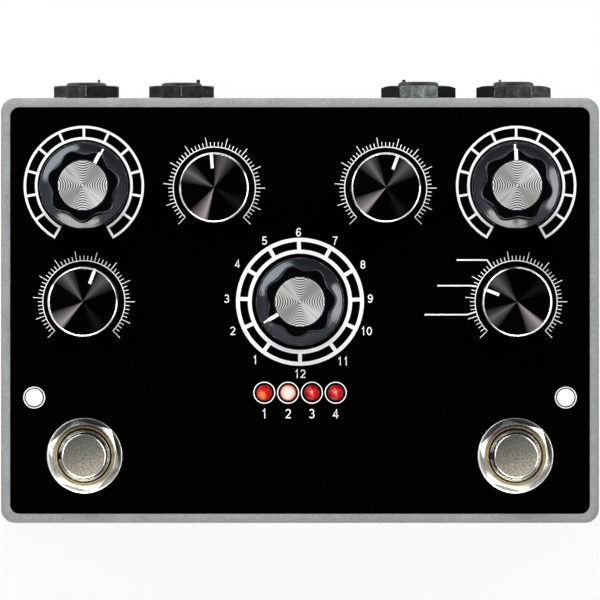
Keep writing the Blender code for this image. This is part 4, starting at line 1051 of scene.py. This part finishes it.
def print_dial(name, inner_low, inner_high, outer_low, outer_high):
    """The ladder round a large knob, and the selector's numbers."""
    shape = bmesh.new()
    centre = CENTRES[name]
    whole = name == "selector"
    degrees = SELECTOR_DEGREES if whole else DIAL_DEGREES
    width = outer_high - outer_low
    half = math.degrees(width / 2 / outer_high)
    start, end = (0, 360) if whole else (degrees[0] - half, degrees[-1] + half)
    band(shape, centre, inner_low, inner_high, start, end)
    band(shape, centre, outer_low, outer_high, start, end)
    for degree in degrees:
        rung(shape, centre, degree, (inner_high - SCALE_LINE / 4, outer_low + SCALE_LINE / 4), width)
    if whole:
        for value, (x, y) in enumerate(SELECTOR_NUMBER_PLACES, 1):
            number(shape, str(value), centre.x + x, centre.y + y, SELECTOR_NUMBER_HEIGHT)
    piece(f"{name}_dial_print", shape, "print_white")


def print_scale(name, leaders):
    """The scale round a small knob. A leader line takes the place of the tick nearest to it."""
    shape = bmesh.new()
    centre = CENTRES[name]
    line = (SCALE_RADIUS - SCALE_LINE / 2, SCALE_RADIUS + SCALE_LINE / 2)
    band(shape, centre, *line, SCALE_DEGREES[0], SCALE_DEGREES[-1])
    for degree in SCALE_DEGREES:
        if all(abs(degree - leader[0]) >= SCALE_DEGREES.step / 2 for leader in leaders):
            end = SCALE_LONG if degree in SCALE_LONG_DEGREES else SCALE_SHORT
            rung(shape, centre, degree, (SCALE_RADIUS, end), SCALE_TICK)
    for degree, kink, end_x in leaders:
        start = centre + heading(degree) * SCALE_RADIUS
        path = [start, centre + Vector((*kink, 0.0)), centre + Vector((end_x, kink[1], 0.0))]
        ribbon(shape, path, LEADER_WIDTH, PRINT_TOP + CROSSING_STEP)
    piece(f"{name}_scale_print", shape, "print_white")


def print_lamps():
    """The rings round the lamps, and the head lamps' numbers."""
    shape = bmesh.new()
    for name, hole in LAMPS.items():
        centre = box_of(name)[2]
        inner, outer = LAMP_RING if hole == HEAD_LAMP_HOLE else STATUS_RING
        band(shape, centre, max(inner, hole + PRINT_PROUD), outer, 0, 360)
        if hole == HEAD_LAMP_HOLE:
            number(shape, name[-1], centre.x, centre.y - LAMP_NUMBER_DROP, LAMP_NUMBER_HEIGHT)
    piece("lamp_print", shape, "print_white")


def strip(path, width, end_share=1.0):
    """A pointer along a path of (radius, height) over X, its far half narrowed to a share."""
    rows = []
    for index, (radius, height) in enumerate(path):
        before = path[max(0, index - 1)]
        after = path[min(len(path) - 1, index + 1)]
        along = Vector((after[0] - before[0], 0.0, after[1] - before[1])).normalized()
        under = Vector((along.z, 0.0, -along.x)) * POINTER_THICKNESS
        point = Vector((radius, 0.0, height))
        share = min(1.0, max(0.0, 2 * index / (len(path) - 1) - POINTER_NARROWING_START))
        side = Vector((0.0, width / 2 * (1 - (1 - end_share) * share), 0.0))
        rows.append([point - side, point + side, point + side + under, point - side + under])
    return loft(rows)


def knob_piece(knob, part, shape, looks, node=None, cut=None, turns=POINTER_DEGREES):
    """A piece that rides with a knob, at its angle in turns. Reflections leave it out, like the shafts."""
    place = Matrix.Translation(CENTRES[knob]) @ Matrix.Rotation(math.radians(turns[knob]), 4, "Z")
    made = piece(f"{knob}_{part}", shape, looks, node, place, cut, body=f"{knob}_control")
    made.visible_glossy = False


def sideways(points, reach):
    """A ring of points stood on edge round the set screw's axis, opposite the pointer."""
    return [(-reach, x, SET_SCREW_HEIGHT + y) for x, y, _ in points]


def screw_hole(outside):
    """A cutter for the hole of a knob's set screw."""
    points = ring(SET_SCREW_RADIUS, 0.0, SMALL_STEPS)
    return (loft([sideways(points, reach) for reach in (0.0, outside)]),)


def make_set_screw(name, outside):
    """The hexagon-socket screw in a knob's side."""
    face = outside - SET_SCREW_DEPTH
    outer = ring(SET_SCREW_RADIUS - FINE_GAP, 0.0, SMALL_STEPS)
    socket = []
    for index in range(SMALL_STEPS):
        around = math.tau * index / SMALL_STEPS
        reach = SET_SCREW_RADIUS / 2 / math.cos((around % math.radians(60)) - math.radians(30))
        socket.append((reach * math.cos(around), reach * math.sin(around), 0.0))
    rings = [sideways(outer, reach) for reach in (KNOB_BORE, face)]
    rings += [sideways(socket, reach) for reach in (face, face - SET_SCREW_RADIUS)]
    knob_piece(name, "set_screw", loft(rings), "steel")


def large_knob_profile():
    """The outer line of a large knob from the rim of its skirt up to its recess, with its lobes' waves."""
    grip_top = LARGE_KNOB_TOP - GRIP_EDGE
    edge = SKIRT_RIM / 4
    rim_top = KNOB_LIFT + SKIRT_RIM
    profile = [
        (SKIRT_RADIUS - edge, KNOB_LIFT),
        (SKIRT_RADIUS, KNOB_LIFT + edge),
        (SKIRT_RADIUS, rim_top - edge),
        (SKIRT_RADIUS - edge / 3, rim_top),
        (SKIRT_RADIUS - SKIRT_BEVEL / 2, rim_top + SKIRT_BEVEL_RISE * SKIRT_BEVEL_SHARE),
    ]
    cone_foot = SKIRT_RADIUS - SKIRT_BEVEL
    run = cone_foot - GRIP_RADIUS - GRIP_FILLET
    steps = 2 * EDGE_STEPS
    height = rim_top + SKIRT_BEVEL_RISE
    for index in range(steps + 1):
        share = index / steps
        slope = math.tan(math.radians(SKIRT_SLOPE_START + (SKIRT_SLOPE_END - SKIRT_SLOPE_START) * share))
        if index:
            height += slope * run / steps
        depth = LOBE_DEPTH * max(0.0, 2 * share - 1)
        profile.append((cone_foot - run * share, height, depth, depth * slope))
    profile.append((GRIP_RADIUS, height + 2 * GRIP_FILLET, LOBE_DEPTH, LOBE_DEPTH * slope))
    profile.append((GRIP_TOP_RADIUS, grip_top, LOBE_DEPTH, 0.0))
    for point in arc(GRIP_TOP_RADIUS - GRIP_EDGE, grip_top, GRIP_EDGE, GRIP_EDGE, 15, 90, EDGE_STEPS):
        profile.append((*point, LOBE_DEPTH, 0.0))
    return profile


def make_large_knob(name):
    """A skirted, seven-lobed dial with a spun metal cap, its pointer and its set screw."""
    outer = large_knob_profile()
    recess = CAP_RADIUS + FINE_GAP
    mouth = (recess + FINE_GAP, LARGE_KNOB_TOP)
    floor = (recess, LARGE_KNOB_TOP - CAP_THICKNESS - SEAT_GAP)
    profile = [*KNOB_HOLLOW, *outer, mouth, (recess, LARGE_KNOB_TOP - FINE_GAP), floor]
    dial = turned(profile, LOBES * LOBE_STEPS, waves=LOBES)
    hole = screw_hole(2 * (GRIP_RADIUS + LOBE_DEPTH))
    knob_piece(name, "dial", dial, "knob_gloss", f"{name}_knob", hole)
    make_set_screw(name, GRIP_RADIUS)
    groove = CAP_RADIUS / CAP_GROOVES
    crown = [(CAP_RADIUS, LARGE_KNOB_TOP - CAP_THICKNESS), (CAP_RADIUS, LARGE_KNOB_TOP - groove / 8)]
    for index in range(4 * CAP_GROOVES - 2):
        radius = CAP_RADIUS - groove * (index + 1) / 4
        crown.append((radius, LARGE_KNOB_TOP - CAP_GROOVE_DEPTH / 2 * (1 - math.cos(math.tau * index / 4))))
    cap = turned(crown)
    knob_piece(name, "spun_cap", cap, "cap_metal", f"{name}_cap", turns=CAP_HIGHLIGHT_DEGREES)
    path = [(mouth[0], LARGE_KNOB_TOP + POINTER_PROUD)]
    for radius, height, depth, fall in reversed(outer[SKIRT_RIM_POINTS:]):
        path.append((radius + depth + POINTER_PROUD, height - fall + POINTER_PROUD))
    pointer = strip(path, LARGE_POINTER_WIDTH, POINTER_END_SHARE)
    knob_piece(name, "pointer", pointer, "print_white")


def make_small_knob(name):
    """A turned metal knob: fine knurl, bright cut rim, spun top and white pointer."""
    root = SMALL_KNOB_RADIUS - KNURL_DEPTH
    rim = SMALL_KNOB_RADIUS - SMALL_KNOB_TAPER
    dish = rim - RIM_WIDTH
    edge = RIM_WIDTH / 12
    floor = SMALL_KNOB_TOP - DISH_DEPTH
    shoulder = SMALL_KNOB_TOP - RIM_DROP
    plain = RIM_DROP * 2
    side = [
        *KNOB_HOLLOW,
        (SMALL_KNOB_RADIUS - 3 * KNURL_DEPTH, KNOB_LIFT),
        (root, KNOB_LIFT + 2 * KNURL_DEPTH),
        (root, KNOB_LIFT + plain),
        (root, KNOB_LIFT + plain + KNURL_DEPTH, KNURL_DEPTH),
        (rim - KNURL_DEPTH, shoulder - plain, KNURL_DEPTH),
        (rim - KNURL_DEPTH, shoulder - plain + KNURL_DEPTH),
    ]
    cut = [
        (rim, shoulder - KNURL_DEPTH),
        (rim - edge, shoulder + edge),
        (dish + RIM_WIDTH / 5, SMALL_KNOB_TOP - RIM_WIDTH / 20),
        (dish + edge, SMALL_KNOB_TOP),
    ]
    top = [
        (dish, SMALL_KNOB_TOP - edge),
        (dish - DISH_DEPTH / 2, floor),
        (dish / 2, floor - DISH_DEPTH / 8),
        (dish / 16, floor - DISH_DEPTH / 4),
    ]
    bands = [1] * len(side) + [2] * len(cut) + [0] * (len(top) - 1)
    shape = turned(side + cut + top, 4 * KNURL_TEETH, bands=bands, waves=KNURL_TEETH)
    looks = "anodised_top anodised_side rim_metal"
    hole = screw_hole(2 * SMALL_KNOB_RADIUS)
    knob_piece(name, "turned_knob", shape, looks, f"{name}_knob", hole)
    make_set_screw(name, SMALL_KNOB_RADIUS)
    path = [(SMALL_POINTER_START, floor), (dish - DISH_DEPTH / 2, floor), (dish + edge, SMALL_KNOB_TOP)]
    path.append((rim - edge, shoulder + edge))
    pointer = strip([(radius, height + POINTER_PROUD) for radius, height in path], SMALL_POINTER_WIDTH)
    knob_piece(name, "pointer", pointer, "print_white")


def hexagon(flats, low, high, turn):
    """A hexagonal prism."""
    corner = flats / 2 / math.cos(math.radians(30))
    angles = [turn + math.radians(30 + 60 * index) for index in range(6)]
    rings = []
    for height in (low, high):
        rings.append([(corner * math.cos(angle), corner * math.sin(angle), height) for angle in angles])
    return loft(rings)


def nut_trim(flats, face_radius, low, high, bore):
    """The turned solid that a nut's hexagon is cut to: a bore, a crowned face, and corners that fall away."""
    outside = flats / 2 / math.cos(math.radians(30)) + SEAT_GAP
    drop = (outside - face_radius) * math.tan(math.radians(30))
    middle = (face_radius + bore) / 2
    half = (face_radius - bore) / 2
    profile = [(outside, high - drop), (outside, low), (bore, low)]
    for index in range(-EDGE_STEPS, EDGE_STEPS + 1):
        share = index / EDGE_STEPS
        profile.append((middle + half * share, high - NUT_CROWN * abs(share) ** NUT_CROWN_POWER))
    return turned(profile, closed=True)


def make_washer(side, place, hole):
    """The washer under a foot switch's nut, its shoulder rounded."""
    node = f"{side}_footswitch_washer"
    washer_low, washer_high, _ = box_of(node)
    low, high = washer_low.z - FACE, washer_high.z - FACE
    radius = (washer_high.x - washer_low.x) / 2
    dome = WASHER_DOME_SHARE * (high - low)
    profile = [(hole, high - WASHER_EDGE), (hole, low)]
    profile += [(radius - WASHER_EDGE, low), (radius, low + WASHER_EDGE)]
    profile += arc(radius - WASHER_ROUND, high - dome, WASHER_ROUND, dome, 0, 90, 2 * EDGE_STEPS)
    profile.append((hole + WASHER_EDGE, high))
    piece(f"{side}_washer", turned(profile, closed=True), "washer_metal", node, place)


def make_switch_nut(side, place, hole):
    """A foot switch's nut, its turned face in a warm painted reflection, its flats in plain nickel."""
    node = f"{side}_footswitch_nut"
    low, high = (corner.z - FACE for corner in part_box(node))
    shape = hexagon(SWITCH_NUT_FLATS, low, high + SEAT_GAP, SWITCH_NUT_TURN)
    trim = nut_trim(SWITCH_NUT_FLATS, SWITCH_NUT_FACE_RADIUS, low, high, hole)
    made = piece(f"{side}_nut", shape, "nickel nickel_warm", node, place, trim=trim)
    for face in made.data.polygons:
        if math.hypot(*face.center.xy) < SWITCH_NUT_FACE_RADIUS and face.center.z > high - NUT_CROWN:
            face.material_index = 1


def make_bushing(side, place):
    """A foot switch's threaded bushing with its key slot, and the housing with its terminals below it."""
    node = f"{side}_footswitch_body"
    rise, chamfer = BUSHING_RISE, THREAD_DEPTH
    profile = [
        (BUSHING_BORE, BUSHING_FLOOR),
        (BUSHING_BORE, rise - chamfer / 2),
        (BUSHING_BORE + chamfer / 2, rise),
        (BUSHING_RADIUS - chamfer, rise),
    ]
    height = rise - chamfer
    while height > 0.0:
        profile.append((BUSHING_RADIUS, height - THREAD_PITCH * THREAD_CREST_SHARE))
        profile.append((BUSHING_RADIUS - THREAD_DEPTH, height - THREAD_PITCH / 2))
        height -= THREAD_PITCH
    profile += [(BUSHING_RADIUS, BUSHING_PLAIN), (BUSHING_RADIUS, HOUSING_TOP)]
    bushing = turned(profile)
    near = (-2 * BUSHING_RADIUS, -KEY_WIDTH / 2, -KEY_DEPTH)
    key = box_shape(near, (-BUSHING_BORE / 2, KEY_WIDTH / 2, 2 * rise))
    piece(f"{side}_bushing", bushing, "nickel", node, place, (key,))
    low, high, _ = box_of(node)
    half_x, half_y = (high.x - low.x) / 2 - HOUSING_PLAY, (high.y - low.y) / 2 - HOUSING_PLAY
    bottom = low.z - FACE
    housing = box_shape((-half_x, -half_y, bottom + HOUSING_LIFT), (half_x, half_y, HOUSING_TOP - SEAT_GAP))
    wide, thin, long = TERMINAL_SIZE
    for column in (-1, 0, 1):
        for row in (-1, 0, 1):
            x, y = column * TERMINAL_PITCH, row * TERMINAL_PITCH
            box_shape((x - wide, y - thin, bottom), (x + wide, y + thin, bottom + long), housing)
    piece(f"{side}_switch_housing", housing, "nut_plastic", place=place)


def make_footswitch(side):
    """A foot switch: washer, nut, bushing, housing and button."""
    node = f"{side}_footswitch_button"
    low, high, centre = box_of(node)
    place = Matrix.Translation((centre.x, centre.y, FACE))
    hole = BUSHING_RADIUS + SEAT_GAP
    make_washer(side, place, hole)
    make_switch_nut(side, place, hole)
    make_bushing(side, place)
    top = high.z - FACE
    flat = BUTTON_RADIUS - BUTTON_EDGE
    crown = [(BUTTON_RADIUS, low.z - FACE)]
    crown += arc(flat, top - BUTTON_EDGE - BUTTON_DOME, BUTTON_EDGE, BUTTON_EDGE, 0, 80, 2 * EDGE_STEPS)
    bands = [0] * (len(crown) - 1)
    count = round(flat / PEBBLE_STEP)
    for index in range(1, count):
        share = 1 - index / count
        crown.append((flat * share, top - BUTTON_DOME * share ** 2))
    bands += [1] * (count - 1)
    button = turned(crown, bands=bands)
    for corner in button.verts:
        reach = math.hypot(corner.co.x, corner.co.y) / flat
        if corner.co.z > top - 2 * BUTTON_DOME and reach < 1:
            height = (noise.noise(corner.co * PEBBLE_SCALE) - PEBBLE_SUNK_SHARE) * PEBBLE_HEIGHT
            corner.co.z += height * min(1.0, PEBBLE_FADE * (1 - reach))
    piece(f"{side}_crown", button, "cut_metal button_metal", node, place, body=f"{side}_button")


def make_lamp(name, hole):
    """A domed lens with its flange, two wire legs and the sleeve that it sits in."""
    low, high, centre = box_of(name)
    place = Matrix.Translation((centre.x, centre.y, FACE))
    radius = hole - LENS_GAP
    flange = -CASE_ROOF - SEAT_GAP
    under = flange - LENS_FLANGE_HEIGHT
    profile = [(radius + LENS_FLANGE, under), (radius + LENS_FLANGE, flange), (radius, flange)]
    profile += arc(0.0, 0.0, radius, high.z - FACE, 0, 84)
    lens = turned(profile, SMALL_STEPS)
    slot = "red_lens" if hole == HEAD_LAMP_HOLE else "white_lens"
    piece(f"{name}_lens", lens, LENS_LOOKS.get(name, slot), name, place)
    legs = bmesh.new()
    for x in (-LEG_OFFSET, LEG_OFFSET):
        box_shape((x - LEG_HALF, -LEG_HALF, low.z - FACE), (x + LEG_HALF, LEG_HALF, under), legs)
    piece(f"{name}_legs", legs, "steel", place=place)
    inner, outer = radius + SLEEVE_PLAY, hole - SLEEVE_PLAY
    profile = [(inner, flange), (outer, flange), (outer, -SLEEVE_DROP), (inner, -2 * SLEEVE_DROP)]
    sleeve = turned(profile, SMALL_STEPS, closed=True)
    piece(f"{name}_sleeve", sleeve, "face_black", place=place)


def make_jack(name, turn, rise, lug_x, lug_width):
    """A jack: its nut, its nose with the bore and the lug, and its body inside the case."""
    nut_low, nut_high, axis = box_of(f"{name}_nut")
    low, high, _ = box_of(name)
    seat = nut_low.y
    place = Matrix.Translation((axis.x, seat, axis.z)) @ Matrix.Rotation(math.radians(-90), 4, "X")
    thick = nut_high.y - seat - NUT_SHORTENED
    nut = hexagon(JACK_NUT_FLATS, 0.0, thick + SEAT_GAP, math.radians(turn))
    trim = nut_trim(JACK_NUT_FLATS, JACK_NUT_FACE_RADIUS, 0.0, thick, JACK_NOSE_RADIUS + SEAT_GAP)
    made = piece(f"{name}_hex_nut", nut, f"{name}_nut", f"{name}_nut", place, trim=trim)
    wall = CASE_HIGH.y - (axis.z - CASE_LOW.z) * CASE_LEAN - seat + JACK_NUT_FLUSH
    for corner in made.data.vertices:
        if corner.co.z < JACK_NUT_FLUSH:
            corner.co.z = min(0.0, wall + corner.co.y * CASE_LEAN)
    mouth = thick + rise
    back = low.y - seat
    front = -CASE_WALL - 2 * SEAT_GAP
    reach, fall = JACK_NOSE_ROUND
    profile = [
        (JACK_BORE_RADIUS, mouth - JACK_BORE_DEPTH),
        (JACK_BORE_RADIUS, mouth - JACK_NOSE_EDGE),
        (JACK_BORE_RADIUS + JACK_NOSE_EDGE, mouth),
    ]
    profile += arc(JACK_NOSE_RADIUS - reach, mouth - fall, reach, fall, 90, 0, 2 * EDGE_STEPS)
    profile += [(JACK_NOSE_RADIUS, front), (JACK_NOSE_RADIUS, back)]
    nose = turned(profile)
    piece(f"{name}_nose", nose, "nut_plastic", name, place)
    half = lug_width / 2
    tip = high.y - seat - NUT_SHORTENED
    lug = box_shape((lug_x - half, LUG_DEPTHS[0], mouth - LUG_SUNK), (lug_x + half, LUG_DEPTHS[1], tip))
    piece(f"{name}_lug", lug, "nut_plastic", place=place)
    far = (JACK_BODY_HALF, axis.z - low.z, front - JACK_BODY_SETBACK)
    body = box_shape((-JACK_BODY_HALF, axis.z - high.z, back), far)
    clear = JACK_NOSE_RADIUS + FINE_GAP
    bore = turned([(clear, back - OVERRUN), (clear, front + OVERRUN)], SMALL_STEPS)
    piece(f"{name}_body", body, "nut_plastic", place=place, cut=(bore,))


def make_inlet():
    """The power inlet's collar and centre pin."""
    low, high, _ = box_of("power_inlet")
    axis_z = box_of("output_jack_outer_nut")[2].z
    place = Matrix.Translation((0.0, high.y, axis_z)) @ Matrix.Rotation(math.radians(-90), 4, "X")
    collar_back = (INLET_COLLAR[-1][0], low.y - high.y)
    bands = [1] * (len(INLET_PIN) - 1) + [0] * (len(INLET_COLLAR) + 1)
    shape = turned([*INLET_PIN, *INLET_COLLAR, collar_back], SMALL_STEPS, bands=bands)
    piece("inlet_socket", shape, "nut_plastic steel", "power_inlet", place)


def make_screw(index, centre, low, high):
    """A countersunk screw with a cross recess, head down."""
    head = (high.x - low.x) / 2
    length = high.z - low.z
    height = SINK_DROP + head - SCREW_RADIUS
    profile = [(head - SCREW_EDGE, 0.0), (head, SINK_DROP), (SCREW_RADIUS, height)]
    while height < length - SCREW_TIP_LENGTH:
        profile.append((SCREW_ROOT, height + SCREW_PITCH / 2))
        profile.append((SCREW_RADIUS, height + SCREW_PITCH))
        height += SCREW_PITCH
    profile.append((SCREW_TIP, length))
    screw = turned(profile, SMALL_STEPS)
    cross = []
    for turn in (CROSS_TURN * index, math.radians(90) + CROSS_TURN * index):
        cos, sin = math.cos(turn), math.sin(turn)
        rings = []
        for half, wide, depth in CROSS_LEVELS:
            corners = ((-half, -wide), (half, -wide), (half, wide), (-half, wide))
            rings.append([(x * cos - y * sin, x * sin + y * cos, depth) for x, y in corners])
        cross.append(loft(rings))
    place = Matrix.Translation((centre.x, centre.y, low.z))
    piece(f"cover_screw_{index}", screw, "steel", f"base_screw_{index}", place, cross)


def make_base():
    """The base plate with its countersunk screws, and the feet."""
    low, high, _ = box_of("base_plate")
    length, width = high.x - low.x, high.y - low.y

    def outline(inset, height):
        return rounded_rectangle(length - 2 * inset, width - 2 * inset, CASE_CORNER - inset, height)

    edge = arc(BASE_EDGE, low.z + BASE_EDGE, -BASE_EDGE, -BASE_EDGE, 90, 0, EDGE_STEPS)
    top, rim = CASE_LOW.z - SEAT_GAP, CASE_RIM_EDGE / 2
    plate = loft([outline(*point) for point in (*edge, (0.0, top - rim), (rim, top))])
    sinks = bmesh.new()
    for index in range(1, 5):
        screw_low, screw_high, centre = box_of(f"base_screw_{index}")
        head = (screw_high.x - screw_low.x) / 2 + SEAT_GAP
        sunk = low.z + SINK_DROP
        profile = [(head, low.z - OVERRUN), (head, sunk), (SINK_SHANK, sunk + head - SINK_SHANK)]
        profile.append((SINK_SHANK, high.z + OVERRUN))
        circles = [ring(*point, SMALL_STEPS) for point in profile]
        loft([[(centre.x + x, centre.y + y, z) for x, y, z in circle] for circle in circles], sinks)
        make_screw(index, centre, screw_low, screw_high)
    piece("base_cover", plate, "case_paint", "base_plate", cut=(sinks,))
    for index in range(1, 5):
        foot_low, foot_high, centre = box_of(f"rubber_foot_{index}")
        radius = (foot_high.x - foot_low.x) / 2
        height = foot_high.z - foot_low.z
        edge = height * FOOT_EDGE_SHARE
        profile = [(radius / 4, height / 5), (radius / 3, height / 6), (radius / 3 + height / 8, 0.0)]
        profile += arc(radius - edge, edge, edge, edge, -90, 0, EDGE_STEPS)
        profile.append((radius * FOOT_TOP_SHARE, height))
        foot = turned(profile, SMALL_STEPS)
        place = Matrix.Translation((centre.x, centre.y, foot_low.z))
        piece(f"foot_{index}", foot, "rubber", f"rubber_foot_{index}", place)


def dress_nodes():
    """Gives each solid that stays in the scene its material."""
    slots = {entry["node"]: entry["material_slot"] for entry in frame["record"]["subparts"]}
    for name, node in frame["nodes"].items():
        if not node.hide_render:
            node.data.materials.clear()
            node.data.materials.append(LOOKS["board_green" if slots[name] == "circuit_board" else "steel"])
            node.visible_glossy = not name.endswith("_shaft")


def make_camera():
    """A long lens straight above the face, framed as the photograph is."""
    camera = bpy.data.cameras.new("camera")
    camera.sensor_width = SENSOR_WIDTH
    camera.lens = SENSOR_WIDTH * CAMERA_DISTANCE / PHOTO_SPAN
    camera.clip_end = 2 * CAMERA_DISTANCE
    holder = bpy.data.objects.new("camera", camera)
    bpy.context.scene.collection.objects.link(holder)
    holder.location = (MIDDLE.x, MIDDLE.y + PHOTO_MIDDLE_Y, FACE + CAMERA_DISTANCE)
    bpy.context.scene.camera = holder


def area_light(name, distance, azimuth, elevation, size, power, shape="RECTANGLE"):
    """A light that the camera doesn't see, and that faces the pedal."""
    light = bpy.data.lights.new(name, "AREA")
    light.shape = shape
    light.size, light.size_y = size
    light.energy = power
    holder = bpy.data.objects.new(name, light)
    bpy.context.scene.collection.objects.link(holder)
    turn, rise = math.radians(azimuth), math.radians(elevation)
    away = Vector((math.cos(turn) * math.cos(rise), math.sin(turn) * math.cos(rise), math.sin(rise)))
    holder.location = Vector((MIDDLE.x, MIDDLE.y, FACE)) + away * distance
    holder.rotation_euler = away.to_track_quat("Z", "Y").to_euler()
    holder.visible_camera = False
    return holder


def make_lights():
    """Soft lights, and round-ended strips that only reflections show. Each strip leaves out one dial."""
    for name, values in SOFT_LIGHTS.items():
        holder = area_light(name, SOFT_DISTANCE, *values)
        holder.visible_glossy = name != "back_light"
    for name, (*values, colour, skipped) in STRIPS.items():
        holder = area_light(name, STRIP_DISTANCE, *values, shape="ELLIPSE")
        holder.data.color = colour
        holder.visible_diffuse = False
        group = bpy.data.collections.new(f"{name}_skips")
        group.objects.link(bpy.data.objects[skipped])
        group.collection_objects[0].light_linking.link_state = "EXCLUDE"
        holder.light_linking.receiver_collection = group


def make_floor():
    """A pale floor, which shows nearly white to the camera and in reflections, and keeps its shadows."""
    shape = box_shape((-FLOOR_REACH, -FLOOR_REACH, -FLOOR_THICKNESS), (FLOOR_REACH, FLOOR_REACH, 0.0))
    floor = mesh_of("floor", shape)
    look = Look("floor", {"Base Color": 0.86, "Roughness": 0.8, SPECULAR: 0.1})
    rays = look.node("LightPath").outputs
    seen = look.maths("ADD", rays["Is Camera Ray"], rays["Is Glossy Ray"])
    seen = look.maths("ADD", seen, rays["Is Transmission Ray"], clamp=True)
    glow = look.node("Emission", {"Color": 1.0, "Strength": 1.0})
    mixed = look.node("MixShader", {0: seen * FLOOR_GLOW, 1: look.shader.outputs[0], 2: glow.outputs[0]})
    look.feed(look.nodes["Material Output"].inputs["Surface"], mixed.outputs[0])
    floor.data.materials.append(look.material)


def make_surround():
    """A surround that is white to the camera, and lights the pedal from bright below to dim above."""
    world = bpy.data.worlds.new("studio")
    world.use_nodes = True
    bpy.context.scene.world = world
    tree = Tree(world.node_tree)
    way = tree.node("SeparateXYZ", {0: tree.node("TexCoord").outputs["Generated"]}).outputs
    stops = [(place, [value * share for share in SURROUND_TINT]) for place, value in SURROUND_STOPS]
    ground = tree.nodes["Background"]
    tree.feed(ground.inputs["Color"], tree.ramp(way["Z"], stops))
    tree.feed(ground.inputs["Strength"], tree.level(way["Y"], *SURROUND_LEAN))
    white = tree.node("Background", {"Color": 1.0})
    seen = tree.node("LightPath").outputs["Is Camera Ray"]
    mixed = tree.node("MixShader", {0: seen, 1: ground.outputs[0], 2: white.outputs[0]})
    tree.feed(tree.nodes["World Output"].inputs["Surface"], mixed.outputs[0])
    bpy.context.scene.view_settings.view_transform = "Standard"


make_looks()
make_case()
for dial, dial_sizes in DIAL_SIZES.items():
    print_dial(dial, *dial_sizes)
for knob in SMALL_KNOBS:
    print_scale(knob, LEADERS if knob == "mode" else ())
print_lamps()
for knob in LARGE_KNOBS:
    make_large_knob(knob)
for knob in SMALL_KNOBS:
    make_small_knob(knob)
for switch_side in ("left", "right"):
    make_footswitch(switch_side)
for lamp, lamp_hole in LAMPS.items():
    make_lamp(lamp, lamp_hole)
for jack, jack_values in JACKS.items():
    make_jack(jack, *jack_values[:-1])
make_inlet()
make_base()
dress_nodes()
make_camera()
make_floor()
make_surround()
make_lights()
